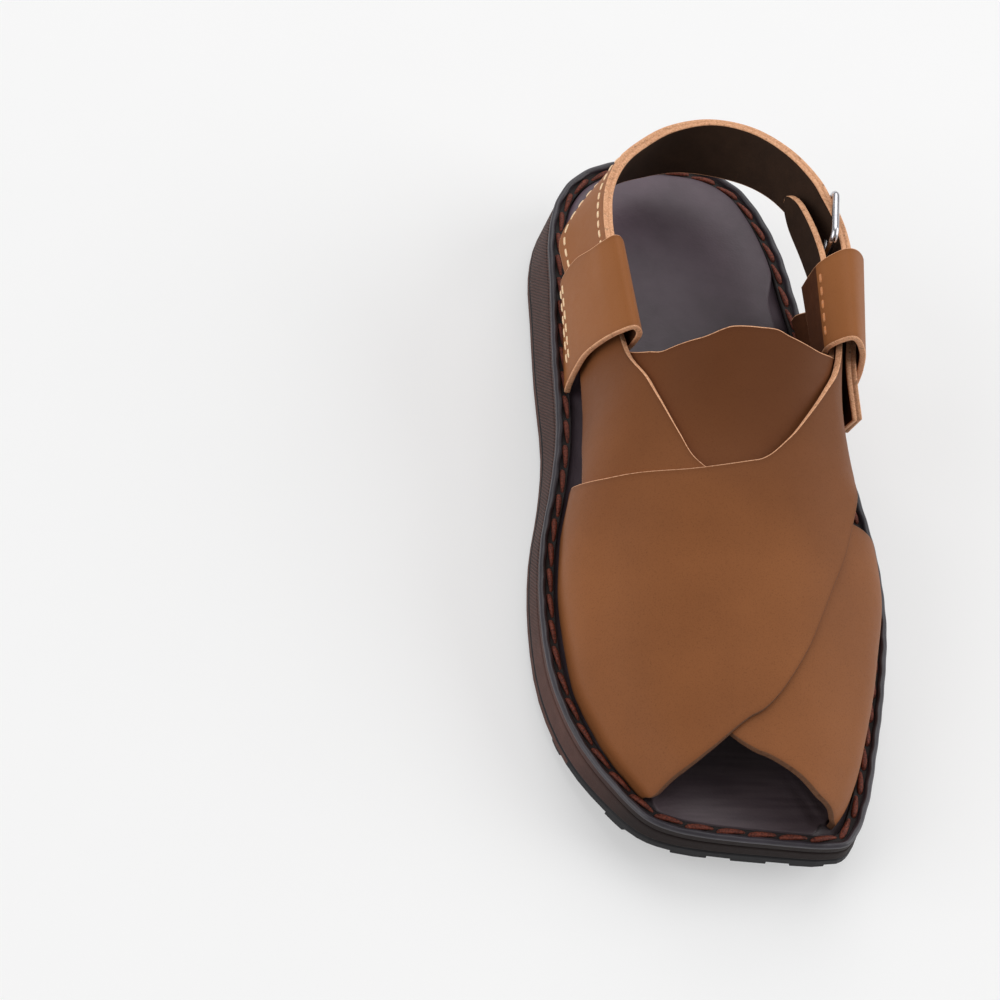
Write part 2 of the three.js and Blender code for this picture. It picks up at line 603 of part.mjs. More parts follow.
// Insole: a thin margin that the straps stand on, and a padded footbed inside them
function insoleGeometry() {
  const drop = (value) => (y) => weltTop(y) - value;
  const pad = (value) => (point) => padInset(point) + value;
  return stack([
    ring(weltWidth + clearance, drop(weltThickness)),
    ring(weltWidth + clearance, drop(insoleMargin)),
    ring(pad(0), drop(insoleMargin)),
    ring(pad(padRim), drop(insoleCrown)),
    ring(pad(padRound), drop(0)),
    ring(pad(padShoulder), drop(-insoleCrown)),
  ]);
}

// Upper: the inner cross strap, and the outer one that climbs over it and sinks into it where they cross
const layerUnder = strapThickness - crossingSink;

// The outer strap climbs between two shares over the foot. Behind the ridge it settles between two places
// along the shoe.
const climb = { from: 0.02, to: 0.10 };
const settle = { ridge: 0.45, from: 0.541, to: 0.445 };

function overStrapHeight(y, over) {
  const climbed = THREE.MathUtils.smoothstep(over, climb.from, climb.to);
  if (over <= settle.ridge) return layerUnder * climbed;
  return layerUnder * climbed * (1 - THREE.MathUtils.smoothstep(y, yOf(settle.from), yOf(settle.to)));
}

function upperGeometry() {
  const under = solid(strapOnFoot(underStrapRows, crossSteps, strapThickness, () => 0));
  const over = solid(strapOnFoot(overStrapRows, crossSteps, strapThickness, overStrapHeight));
  return geometryOf(under.add(over));
}

function tongueGeometry() {
  return strapOnFoot(tongueRows, crossSteps, tongueThickness, () => -tongueGap - tongueThickness);
}

function loopGeometry(rows) {
  return band(rows, ['rear', 'fore'], bandSteps * (rows.length - 1), bandSteps, loopThickness);
}

// Buckle: a flat frame whose front bar lies inside the strap and whose rear bar lies outside it,
// and a prong from the front bar through the strap that rests on the rear bar
const buckleRun = { front: placeAt(buckleRows[0]), rear: placeAt(buckleRows[1]) };

function prongGeometry(radius, early) {
  const { front, rear } = buckleRun;
  const rest = buckleBar / 2 + prongRadius + 2 * clearance;
  const tip = rear.clone().add(new THREE.Vector3(rest, prongRadius, 0));
  const run = tip.clone().sub(front).normalize();
  const from = front.clone().addScaledVector(run, early);
  const rod = new THREE.CylinderGeometry(radius, radius, from.distanceTo(tip), prongSides);
  rod.applyQuaternion(new THREE.Quaternion().setFromUnitVectors(new THREE.Vector3(0, 1, 0), run));
  return rod.translate(...from.lerp(tip, 0.5).toArray());
}

function heelStrapGeometry() {
  const strap = solid(band(heelStrapRows, ['top', 'low'], heelStrapSteps, bandSteps, heelStrapThickness));
  return geometryOf(strap.subtract(solid(prongGeometry(holeRadius, 0))));
}

function guardGeometry() {
  return band(guardRows, ['top', 'low'], guardSteps, bandSteps, guardThickness);
}

function roundedRectangle(path, width, height, radius) {
  const [w, h] = [width / 2, height / 2];
  path.moveTo(-w + radius, -h);
  path.lineTo(w - radius, -h);
  path.absarc(w - radius, -h + radius, radius, -Math.PI / 2, 0);
  path.lineTo(w, h - radius);
  path.absarc(w - radius, h - radius, radius, 0, Math.PI / 2);
  path.lineTo(-w + radius, h);
  path.absarc(-w + radius, h - radius, radius, Math.PI / 2, Math.PI);
  path.lineTo(-w, -h + radius);
  path.absarc(-w + radius, -h + radius, radius, Math.PI, Math.PI * 1.5);
  return path;
}

function buckleGeometry() {
  const { front, rear } = buckleRun;
  const up = new THREE.Vector3(0, 0, 1);
  const run = rear.clone().sub(front);
  const width = run.length() + buckleBar;
  const hollow = 2 * buckleBar;
  const shape = roundedRectangle(new THREE.Shape(), width, buckleHeight, 2 * buckleBar);
  shape.holes.push(roundedRectangle(new THREE.Path(), width - hollow, buckleHeight - hollow, buckleBar));
  const frame = new THREE.ExtrudeGeometry(shape, {
    depth: buckleBar,
    bevelEnabled: false,
    curveSegments: cornerSteps,
  });
  frame.translate(0, 0, -buckleBar / 2);
  run.normalize();
  const turn = new THREE.Matrix4().makeBasis(run, up, run.clone().cross(up));
  return frame.applyMatrix4(turn.setPosition(front.clone().lerp(rear, 0.5)));
}

// Materials
function material(color, roughness, metalness = 0) {
  return new THREE.MeshStandardMaterial({ color, roughness, metalness });
}

const tan = material(0x8e5a33, 0.5);
const darkLeather = material(0x3a3236, 0.55);

const pieces = [
  ['outsole', outsoleGeometry(), material(0x1c1c1e, 0.8)],
  ['midsole', midsoleGeometry(), material(0x4a3835, 0.75)],
  ['welt', weltGeometry(), material(0x45424a, 0.5)],
  ['insole', insoleGeometry(), darkLeather],
  ['upper', upperGeometry(), tan],
  ['tongue', tongueGeometry(), tan],
  ['loop_inner', loopGeometry(innerLoopRows), tan],
  ['loop_outer', loopGeometry(outerLoopRows), tan],
  ['heel_strap', heelStrapGeometry(), tan],
  ['buckle_guard', guardGeometry(), tan],
  ['buckle_frame', buckleGeometry(), material(0xd0d2d6, 0.2, 1)],
  ['buckle_prong', prongGeometry(prongRadius, buckleBar / 2 + clearance), material(0xd0d2d6, 0.2, 1)],
];

// The origin is on the floor below the middle of the sole's footprint
const chappal = new THREE.Group();
for (const [name, geometry, look] of pieces) {
  const mesh = new THREE.Mesh(geometry, look);
  mesh.name = name;
  chappal.add(mesh);
}
const footprint = new THREE.Box3().setFromBufferAttribute(pieces[0][1].getAttribute('position'));
const centre = footprint.getCenter(new THREE.Vector3());
chappal.position.set(-centre.x, -centre.y, -footprint.min.z);
chappal.updateMatrixWorld(true);

export default chappal;
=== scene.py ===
"""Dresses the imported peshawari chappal: fine leather, stitches, ribbed sole side, buckle and stage."""

import math

import bmesh
import bpy
import numpy as np
from mathutils import Matrix, Vector


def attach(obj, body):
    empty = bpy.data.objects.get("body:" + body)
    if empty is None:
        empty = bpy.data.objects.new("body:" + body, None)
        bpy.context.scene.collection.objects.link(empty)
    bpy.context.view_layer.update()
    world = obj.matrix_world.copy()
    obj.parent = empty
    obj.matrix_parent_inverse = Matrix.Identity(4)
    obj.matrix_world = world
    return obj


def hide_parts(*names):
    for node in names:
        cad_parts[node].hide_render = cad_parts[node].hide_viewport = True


bl_info = {
    "name": "Peshawari chappal",
    "version": (1, 0, 0),
    "blender": (4, 5, 0),
    "location": "View3D > Sidebar > Chappal",
    "description": "Builds the leather, stitches, sole and buckle of a left peshawari chappal",
    "category": "Object",
}

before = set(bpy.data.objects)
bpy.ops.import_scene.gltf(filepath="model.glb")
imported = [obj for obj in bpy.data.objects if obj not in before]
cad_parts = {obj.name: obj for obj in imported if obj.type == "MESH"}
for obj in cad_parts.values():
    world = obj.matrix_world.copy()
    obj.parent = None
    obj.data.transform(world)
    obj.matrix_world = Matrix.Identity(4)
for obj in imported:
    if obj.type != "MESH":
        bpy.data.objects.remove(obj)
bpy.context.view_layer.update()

# Sizes of the part, in millimetres, as in its source
SOLE_LENGTH = 293
BALL_WIDTH = 125
HEEL_HEIGHT = 30.5
BALL_HEIGHT = 18
TOE_SPRING = 10.5
TOE_SKIVE = 4.5
TOE_SKEW = 0.075
SIDE_FLARE = 0.11
LUG_DEPTH = 3
RUBBER = 2.4
WELT_THICKNESS = 4.2
WELT_WIDTH = 5.4
WELT_ROLL = 2.2
CHANNEL_DEPTH = 2
INSOLE_MARGIN = 3.4
INSOLE_CROWN = 0.9
JOINT_STEP = 0.5
PAD_SHOULDER = 9
STRAP_GAP = 1.5
PAD_GAP = 1.4
INSTEP_HEIGHT = 71
STRAP = 2.2
TONGUE = 2
TONGUE_GAP = 0.45
LOOP = 2.2
GUARD = 2.2
HEEL_STRAP = 3.6
SINK = 0.8
CLEARANCE = 0.3
STRAP_INSET = WELT_WIDTH + STRAP + STRAP_GAP
SOLE_AXIS = 0.032
SPRING_START = 0.735
SKIVE_START = 0.80
INNER_SQUARE = 0.80
ARCH_POWER = 0.86
BUCKLE_BAR = 2.4
BUCKLE_HEIGHT = 28.8
PRONG_RADIUS = 1.1
# From the origin of the tables to the middle of the part's box
RECENTRE = Vector((0.0171, -3.1945, 0))
# Places along the shoe: the outline's ends, the start of the skewed toe, the ends of the spine and the foot form
OUTLINE_HEEL = -0.0065
OUTLINE_TOE = 0.987
SKEW_START = 0.86
SPINE_HEEL = 0.155
SPINE_TOE = 0.825
FORM_HEEL = 0.03
FORM_TOE = 0.985
# The least share of an inset that is measured square to the edge
SQUARE_SHARE = 0.75


def rows(columns, lines):
    """A table: one dictionary for each line of numbers."""
    return [dict(zip(columns.split(), map(float, line.split()))) for line in lines.split("\n")[1:-1]]


# Outline of the welt: half widths on both sides as shares of half the ball width
OUTLINE = rows("along inner outer", """
0.001 0.300 0.304
0.028 0.522 0.492
0.068 0.657 0.600
0.131 0.738 0.689
0.210 0.762 0.740
0.312 0.789 0.810
0.425 0.805 0.901
0.500 0.863 0.955
0.585 0.955 0.997
0.677 0.998 0.979
0.773 0.980 0.885
0.858 0.878 0.766
0.925 0.722 0.651
0.967 0.577 0.540
0.981 0.425 0.461
""")
# How far the wedge has risen from ball height (0) to heel height (1)
WEDGE = rows("along rise", """
0.00 1.00
0.15 0.90
0.29 0.68
0.43 0.36
0.57 0.10
0.70 0.00
1.00 0.00
""")
# Form of the foot: height as a share of the instep height, the rest of the ball width
FOOT = rows("along height lean bulgeIn bulgeOut square", """
0.227 1.183 0.040 0.016 0.000 0.50
0.346 1.113 0.040 0.022 -0.016 0.50
0.432 1.000 0.021 0.018 -0.048 0.56
0.500 0.901 0.000 0.016 -0.056 0.65
0.568 0.812 -0.009 0.016 -0.040 0.75
0.613 0.775 -0.013 0.016 0.000 0.80
0.705 0.634 -0.012 0.012 0.022 0.80
0.807 0.479 0.000 0.008 0.022 0.80
0.892 0.366 0.000 0.005 0.018 0.80
0.995 0.296 0.000 0.004 0.008 0.80
""")
# Inner cross strap: rear and front edges, from the outer sole edge up to the inner loop
UNDER_STRAP = rows("rear rearOver front frontOver", """
0.595 1.000 0.957 1.000
0.622 0.880 0.966 0.860
0.634 0.760 0.962 0.700
0.640 0.620 0.938 0.575
0.625 0.500 0.898 0.450
0.592 0.415 0.800 0.345
0.553 0.370 0.690 0.250
0.480 0.280 0.550 0.115
0.425 0.205 0.440 0.045
0.350 0.160 0.350 0.035
""")
# Outer cross strap: rear and front edges, from the inner sole edge up to the outer loop
OVER_STRAP = rows("rear rearOver front frontOver", """
0.510 0.000 0.926 0.000
0.555 0.100 0.938 0.110
0.590 0.250 0.932 0.240
0.603 0.400 0.912 0.380
0.594 0.497 0.870 0.505
0.563 0.542 0.800 0.595
0.529 0.579 0.700 0.664
0.497 0.620 0.620 0.720
0.460 0.676 0.520 0.840
0.415 0.714 0.445 0.890
0.360 0.725 0.360 0.900
""")
# Tongue: rear and front edges, from the inner loop to the outer loop
TONGUE_ROWS = rows("rear rearOver front frontOver", """
0.385 0.150 0.385 0.060
0.415 0.188 0.440 0.080
0.436 0.250 0.530 0.160
0.446 0.300 0.600 0.270
0.446 0.378 0.635 0.380
0.438 0.451 0.645 0.470
0.439 0.500 0.640 0.540
0.447 0.525 0.620 0.600
0.456 0.600 0.560 0.700
0.430 0.735 0.460 0.820
0.360 0.745 0.360 0.880
""")
# Heel strap: its two edges, from inside the inner loop to the free tail
HEEL_STRAP_ROWS = rows("topAlong topSide topUp lowAlong lowSide lowUp", """
0.333 -0.598 1.000 0.309 -0.666 0.493
0.302 -0.605 1.011 0.275 -0.672 0.500
0.275 -0.606 1.021 0.234 -0.677 0.507
0.227 -0.589 0.986 0.200 -0.693 0.500
0.162 -0.528 0.930 0.166 -0.696 0.507
0.113 -0.426 0.904 0.138 -0.616 0.592
0.072 -0.277 0.868 0.090 -0.432 0.620
0.045 -0.090 0.890 0.056 -0.192 0.577
0.039 0.138 0.941 0.049 0.048 0.606
0.060 0.352 1.000 0.070 0.352 0.662
0.114 0.528 1.085 0.111 0.512 0.746
0.169 0.643 1.124 0.164 0.621 0.806
0.191 0.686 1.111 0.189 0.672 0.808
0.220 0.730 1.101 0.220 0.726 0.807
0.251 0.755 1.087 0.251 0.760 0.803
0.288 0.760 1.070 0.288 0.778 0.782
0.336 0.746 1.049 0.336 0.774 0.761
0.384 0.718 1.028 0.384 0.765 0.732
0.432 0.694 0.979 0.428 0.762 0.676
0.483 0.746 0.831 0.462 0.758 0.620
""")
# Tab behind the buckle: its two edges, from the outer loop to the rounded end
GUARD_ROWS = rows("topAlong topSide topUp lowAlong lowSide lowUp", """
0.336 0.605 1.063 0.336 0.645 0.831
0.302 0.610 1.070 0.302 0.643 0.831
0.275 0.613 1.070 0.275 0.638 0.824
0.234 0.595 1.063 0.234 0.618 0.817
0.193 0.563 1.042 0.193 0.579 0.824
0.155 0.528 1.000 0.164 0.531 0.859
""")
# Middles of the buckle's bars, the front one first
BUCKLE = rows("barAlong barSide barUp", """
0.259 0.677 0.951
0.185 0.739 0.951
""")
# Inner loop: rear and front edges, up the outer leg, over the fold and down the inner leg
INNER_LOOP = rows("rearAlong rearSide rearUp foreAlong foreSide foreUp", """
0.229 -0.686 0.393 0.370 -0.723 0.323
0.229 -0.693 0.435 0.370 -0.726 0.365
0.230 -0.723 0.493 0.375 -0.733 0.451
0.235 -0.725 0.606 0.381 -0.736 0.563
0.246 -0.710 0.761 0.387 -0.726 0.704
0.263 -0.686 0.901 0.403 -0.685 0.901
0.275 -0.659 1.018 0.413 -0.635 1.018
0.278 -0.606 1.087 0.418 -0.573 1.085
0.275 -0.555 1.028 0.414 -0.525 1.028
0.265 -0.568 0.901 0.404 -0.515 0.901
0.247 -0.598 0.704 0.391 -0.522 0.761
""")
# Outer loop, in the same way
OUTER_LOOP = rows("rearAlong rearSide rearUp foreAlong foreSide foreUp", """
0.241 0.701 0.385 0.398 0.805 0.310
0.241 0.710 0.423 0.398 0.806 0.352
0.254 0.768 0.535 0.404 0.816 0.479
0.271 0.821 0.676 0.411 0.816 0.634
0.282 0.848 0.831 0.420 0.797 0.789
0.285 0.848 0.986 0.428 0.765 0.944
0.288 0.808 1.120 0.433 0.714 1.099
0.304 0.672 1.239 0.441 0.605 1.231
0.311 0.552 1.169 0.435 0.517 1.134
0.309 0.528 1.056 0.428 0.518 1.028
0.302 0.531 0.930 0.418 0.531 0.901
""")
# Width of the darker strip along a cut edge, and the line of the sole stitches in from the welt's edge
EDGE_SHADE_WIDTH = 1.6
STITCH_INSET = 3.9
# How far a seam's stitches stand off the leather
SEAM_LIFT = 0.22
# The camera, in millimetres from the tables' origin: its place, and its right, up and backward directions
CAMERA_PLACE = (-282.9, -573.9, 771.9)
CAMERA_AXES = (
    (0.9744149, -0.0849534, 0.2080829),
    (-0.0557023, 0.8056519, 0.5897646),
    (-0.2177449, -0.5862661, 0.7803071),
)


# Shapes

def curve(table, column, key="along"):
    """Monotone cubic curve through one column of a table."""
    x = np.array([row[key] for row in table], float)
    y = np.array([row[column] for row in table], float)
    h = np.diff(x)
    slope = np.diff(y) / h
    tangent = np.empty_like(y)
    tangent[0], tangent[-1] = slope[0], slope[-1]
    for i in range(1, len(x) - 1):
        left, right = slope[i - 1], slope[i]
        a, b = 2 * h[i] + h[i - 1], h[i] + 2 * h[i - 1]
        tangent[i] = 0 if left * right <= 0 else (a + b) / (a / left + b / right)

    def value(at):
        at = np.clip(at, x[0], x[-1])
        i = np.clip(np.searchsorted(x, at, side="left") - 1, 0, len(h) - 1)
        t = (at - x[i]) / h[i]
        rest = 1 - t
        ends = rest * rest * (1 + 2 * t) * y[i] + t * t * (3 - 2 * t) * y[i + 1]
        return ends + t * rest * h[i] * (rest * tangent[i] - t * tangent[i + 1])

    return value


def smoothstep(x, low, high):
    t = np.clip((x - low) / (high - low), 0, 1)
    return t * t * (3 - 2 * t)


def unit(vectors):
    return vectors / np.maximum(np.linalg.norm(vectors, axis=-1, keepdims=True), 1e-9)


def rounded_run(points, at, closed=False):
    """Centripetal Catmull-Rom curve through the points, at shares of its length in points."""
    points = np.asarray(points, float)
    count = len(points)
    place = np.asarray(at, float) * (count if closed else count - 1)
    first = np.floor(place).astype(int)
    if closed:
        p0, p1, p2, p3 = (points[(first + k) % count] for k in (-1, 0, 1, 2))
    else:
        first = np.minimum(first, count - 2)
        ends = np.vstack([2 * points[0] - points[1], points, 2 * points[-1] - points[-2]])
        p0, p1, p2, p3 = (ends[first + k] for k in range(4))
    t = (place - first)[..., None]
    d0, d1, d2 = (np.sqrt(np.linalg.norm(b - a, axis=-1, keepdims=True))
                  for a, b in ((p0, p1), (p1, p2), (p2, p3)))
    t1 = ((p1 - p0) / d0 - (p2 - p0) / (d0 + d1) + (p2 - p1) / d1) * d1
    t2 = ((p2 - p1) / d1 - (p3 - p1) / (d1 + d2) + (p3 - p2) / d2) * d1
    return (p1 + t1 * t + (-3 * p1 + 3 * p2 - 2 * t1 - t2) * t ** 2
            + (2 * p1 - 2 * p2 + t1 + t2) * t ** 3)


def along_of(y):
    return 0.5 - y / SOLE_LENGTH


def y_of(along):
    return (0.5 - along) * SOLE_LENGTH


wedge_rise = curve(WEDGE, "rise")


def past(along, start):
    return np.maximum(0, (along - start) / (1 - start)) ** 2


def spring_at(y):
    return TOE_SPRING * past(along_of(y), SPRING_START)


def welt_top(y):
    along = along_of(y)
    wedge = wedge_rise(along) * (HEEL_HEIGHT - BALL_HEIGHT)
    return BALL_HEIGHT + wedge + spring_at(y) - TOE_SKIVE * past(along, SKIVE_START)


def outline(steps):
    """Outline of the welt, from the back of the heel round the inner side."""
    half = BALL_WIDTH / 2

    def place(along, side):
        return side, y_of(along) - TOE_SKEW * side * smoothstep(along, SKEW_START, 1)

    inner = [place(row["along"], -row["inner"] * half) for row in OUTLINE]
    outer = [place(row["along"], row["outer"] * half) for row in OUTLINE][::-1]
    anchors = [(SOLE_AXIS * half, y_of(OUTLINE_HEEL)), *inner, (SOLE_AXIS * half, y_of(OUTLINE_TOE)), *outer]
    count = len(anchors) * steps
    return rounded_run(anchors, np.arange(count) / count, closed=True)


EDGE = outline(24)
TANGENT = unit(np.roll(EDGE, -1, axis=0) - np.roll(EDGE, 1, axis=0))
NORMAL = np.stack([-TANGENT[:, 1], TANGENT[:, 0]], axis=1)
SPINE = np.stack([np.full(len(EDGE), SOLE_AXIS * BALL_WIDTH / 2),
                  np.clip(EDGE[:, 1], y_of(SPINE_TOE), y_of(SPINE_HEEL))], axis=1)
TO_SPINE = unit(SPINE - EDGE)
INWARD = TO_SPINE / np.maximum(SQUARE_SHARE, np.abs((NORMAL * TO_SPINE).sum(axis=1)))[:, None]
STEPS_ROUND = np.linalg.norm(np.roll(EDGE, -1, axis=0) - EDGE, axis=1)
RIB_PITCH = 1.5
RIBS = round(STEPS_ROUND.sum() / RIB_PITCH)
ROUND = (np.cumsum(STEPS_ROUND) - STEPS_ROUND) * RIBS * RIB_PITCH / STEPS_ROUND.sum()


def ring(inset, height_at):
    """One ring of the sole: inset from the welt's outline, at a height worked out along the shoe."""
    placed = EDGE + INWARD * np.broadcast_to(inset, len(EDGE))[:, None]
    height = height_at(placed[:, 1])
    flare = SIDE_FLARE * np.maximum(0, welt_top(placed[:, 1]) - WELT_THICKNESS - height)
    placed = placed - INWARD * flare[:, None]
    return np.column_stack([placed, height])


foot = {name: curve(FOOT, name) for name in ("height", "lean", "bulgeIn", "bulgeOut", "square")}
half_width = {side: curve(OUTLINE, side) for side in ("inner", "outer")}


def side_of(y, side):
    def half(at):
        return half_width[side](along_of(at)) * BALL_WIDTH / 2

    slope = (half(y + 1) - half(y - 1)) / 2
    return half(y) - STRAP_INSET * np.hypot(1, slope)


def foot_base(y, over):
    along = along_of(y)
    held = np.clip(y, y_of(FORM_TOE), y_of(FORM_HEEL))
    angle = np.pi * over
    across = np.cos(angle)
    rise = np.maximum(0, np.sin(angle))
    inner, outer = -side_of(held, "inner"), side_of(held, "outer")
    square = np.where(across > 0, INNER_SQUARE, foot["square"](along))
    bulge = np.where(across > 0, -foot["bulgeIn"](along), foot["bulgeOut"](along)) * BALL_WIDTH
    x = ((inner + outer) / 2 - (outer - inner) / 2 * np.sign(across) * np.abs(across) ** square
         + foot["lean"](along) * BALL_WIDTH * rise + bulge * np.sin(np.pi * rise))
    z = (welt_top(y) - INSOLE_MARGIN + 2 * CLEARANCE
         + foot["height"](along) * INSTEP_HEIGHT * rise ** ARCH_POWER)
    return np.stack([x, y, z], axis=-1)


def on_foot(y, over, offset=0.0):
    """Point of the foot form, raised along its outward normal."""
    y, over, offset = np.broadcast_arrays(y, over, offset)
    point = foot_base(y, over)
    reach = 0.002
    across = foot_base(y, np.minimum(1, over + reach)) - foot_base(y, np.maximum(0, over - reach))
    along = foot_base(y - 0.5, over) - foot_base(y + 0.5, over)
    normal = unit(np.cross(across, along))
    outward = normal[..., 0] * point[..., 0] + normal[..., 2] * (point[..., 2] - 25)
    return point + normal * (np.where(outward < 0, -1, 1) * offset)[..., None]


def grid(across, along):
    return np.meshgrid(np.linspace(0, 1, across), np.linspace(0, 1, along), indexing="ij")


def strap_middle(table, across, along, thickness, height_over):
    """Middle surface of a strap on the foot form, between the two edges of its table."""
    numbered = [dict(row, at=i / (len(table) - 1)) for i, row in enumerate(table)]
    u, v = grid(across, along)
    rear, rear_over, front, front_over = (
        curve(numbered, name, "at")(u) for name in ("rear", "rearOver", "front", "frontOver"))
    y = y_of(rear + (front - rear) * v)
    over = rear_over + (front_over - rear_over) * v
    return on_foot(y, over, height_over(y, over) + thickness / 2)


def place_row(row, name):
    side, along, height = row[name + "Side"], row[name + "Along"], row[name + "Up"]
    return np.array([side * BALL_WIDTH / 2, y_of(along), height * INSTEP_HEIGHT])


def band_middle(table, edges, across, along, rounding=0.0):
    """Middle surface of a band between two rounded edges, with its last end rounded off."""
    u, v = grid(across, along)
    if rounding:
        rest = np.clip((u - 1 + rounding) / rounding, 0, 1)
        v = 0.5 + (v - 0.5) * np.sqrt(1 - 0.97 * rest ** 2.4)
    first, second = (rounded_run([place_row(row, name) for row in table], u) for name in edges)
    return first + (second - first) * v[..., None]


# Meshes

def close_round(mesh, spread, round_length):
    """Lets the last face of each ring run on past the seam in place of back over the whole round."""
    starts = np.empty(len(mesh.polygons), np.int32)
    mesh.polygons.foreach_get("loop_start", starts)
    counts = np.diff(np.append(starts, len(spread)))
    far = np.repeat(np.maximum.reduceat(spread[:, 0], starts), counts)
    spread[spread[:, 0] < far - round_length / 2, 0] += round_length


def put_on_shoe(name, mesh, replaces=()):
    """An object that rides on the shoe and may stand for nodes of the part."""
    piece = bpy.data.objects.new(name, mesh)
    bpy.context.scene.collection.objects.link(piece)
    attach(piece, "root")
    if replaces:
        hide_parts(*replaces)
    return piece


def new_piece(name, vertices, faces, finishes, face_finish=None, replaces=(), uv=None, round_length=0):
    """A smooth mesh, given in millimetres and made in metres."""
    mesh = bpy.data.meshes.new(name)
    placed = (np.asarray(vertices) + np.array(RECENTRE)) / 1000
    mesh.from_pydata(placed.tolist(), [], [tuple(face) for face in faces])
    for finish in finishes:
        mesh.materials.append(finish)
    if face_finish is not None:
        mesh.polygons.foreach_set("material_index", np.asarray(face_finish, np.int32))
    mesh.polygons.foreach_set("use_smooth", np.ones(len(mesh.polygons), bool))
    if uv is not None:
        layer = mesh.uv_layers.new(name="UVMap")
        corners = np.empty(len(mesh.loops), np.int32)
        mesh.loops.foreach_get("vertex_index", corners)
        spread = np.asarray(uv)[corners]
        if round_length:
            close_round(mesh, spread, round_length)
        layer.data.foreach_set("uv", spread.astype(np.float32).ravel())
    mesh.update()
    return put_on_shoe(name, mesh, replaces)


def quads(lines, columns, closed=False, start=0, round_again=False):
    """Faces between neighbouring lines of points; they may also join the last line to the first."""
    faces = []
    for i in range(lines if round_again else lines - 1):
        for j in range(columns if closed else columns - 1):
            k = (j + 1) % columns
            a, b = start + i * columns, start + (i + 1) % lines * columns
            faces.append((a + j, a + k, b + k, b + j))
    return faces


def rim_profile(thickness, corner, groove):
    """Section of a cut edge from the top face to the lower face: outset and height pairs."""
    half = thickness / 2
    arc = [(-corner + corner * math.cos(a), half - corner + corner * math.sin(a))
           for a in (math.pi / 3, math.pi / 6, 0)]
    seam = [(0, 0.18), (-groove, 0), (0, -0.18)] if groove else [(0.04, 0)]
    return arc + seam + [(out, -height) for out, height in reversed(arc)]


def slopes(middle):
    """Directions along and across a middle surface, and its normal."""
    du, dv = np.gradient(middle, axis=0), np.gradient(middle, axis=1)
    return du, dv, unit(np.cross(du, dv))


def sheet(name, middle, thickness, grain, back, node, groove=0.0, painted_shade_from=1.0):
    """Leather of even thickness about its middle surface, with raw cut edges that have rounded corners.
    Grain and back name the finishes of its two faces, and it stands for one node of the part. Past a given share
    of its length, the grain face takes the back's finish as painted shade."""
    finishes = [finish(look) for look in (grain, "raw", back)]
    corner = bpy.context.scene.chappal_leather.edge_corner * 1000
    du, dv, normal = slopes(middle)
    nu, nv = middle.shape[:2]
    normal = normal * outer_side(middle)
    rim = ([(0, j) for j in range(nv)] + [(i, nv - 1) for i in range(1, nu)]
           + [(nu - 1, j) for j in range(nv - 2, -1, -1)] + [(i, 0) for i in range(nu - 2, 0, -1)])
    ri, rj = (np.array(k) for k in zip(*rim))
    out = np.zeros((len(rim), 3))
    out -= np.where((rj == 0)[:, None], unit(dv[ri, rj]), 0)
    out += np.where((rj == nv - 1)[:, None], unit(dv[ri, rj]), 0)
    out -= np.where((ri == 0)[:, None], unit(du[ri, rj]), 0)
    out += np.where((ri == nu - 1)[:, None], unit(du[ri, rj]), 0)
    top, low = middle + normal * thickness / 2, middle - normal * thickness / 2
    for face in (top, low):
        face[ri, rj] -= corner * out
    profile = rim_profile(thickness, corner, groove)
    loops = [middle[ri, rj] + out * outset + normal[ri, rj] * height for outset, height in profile]
    vertices = np.concatenate([top.reshape(-1, 3), low.reshape(-1, 3), *loops])
    size, ring_size = nu * nv, len(rim)
    faces = [face[::-1] for face in quads(nu, nv)]
    faces += quads(nu, nv, start=size)
    # Painted shade: grain faces past the given share take the back's finish.
    looks = [2 if i >= painted_shade_from * (nu - 1) else 0 for i in range(nu - 1) for _ in range(nv - 1)]
    looks += [2] * (len(faces) // 2)
    chain = [ri * nv + rj, *(2 * size + k * ring_size + np.arange(ring_size) for k in range(len(loops))),
             size + ri * nv + rj]
    for a, b in zip(chain, chain[1:]):
        faces += zip(a, np.roll(a, -1), np.roll(b, -1), b)
    looks += [1] * (len(faces) - len(looks))
    lengths, widths = travelled(middle), travelled(middle.swapaxes(0, 1)).T
    flat = np.stack([lengths, widths], axis=2)
    rim_flat = [flat[ri, rj] + [0, height] for _, height in profile]
    uv = np.concatenate([flat.reshape(-1, 2)] * 2 + rim_flat) / 1000
    piece = new_piece(name, vertices, outward(vertices, faces), finishes, looks, (node,), uv)
    near = np.minimum(widths, widths[:, -1:] - widths)
    near = np.exp(-(near / EDGE_SHADE_WIDTH) ** 2).reshape(-1)
    near = np.concatenate([near, near, np.ones(len(vertices) - 2 * size)])
    layer = piece.data.attributes.new("edge_near", "FLOAT", "POINT")
    layer.data.foreach_set("value", near.astype(np.float32))


def outward(vertices, faces):
    """The faces, turned as a whole so that they point out of the closed form."""
    points = np.asarray(vertices)
    volume = 0.0
    for face in faces:
        a = points[face[0]]
        for j in range(1, len(face) - 1):
            volume += np.dot(a, np.cross(points[face[j]], points[face[j + 1]]))
    return faces if volume > 0 else [tuple(reversed(face)) for face in faces]


def ringed_piece(name, rings, faces, finishes, looks, replaces):
    """A piece made of rings of the sole, laid out flat round the shoe for its pattern."""
    vertices = np.concatenate(rings)
    uv = np.concatenate([np.column_stack([ROUND, level[:, 2]]) for level in rings]) / 1000
    faces = outward(vertices, faces)
    return new_piece(name, vertices, faces, finishes, looks, replaces, uv, RIBS * RIB_PITCH / 1000)


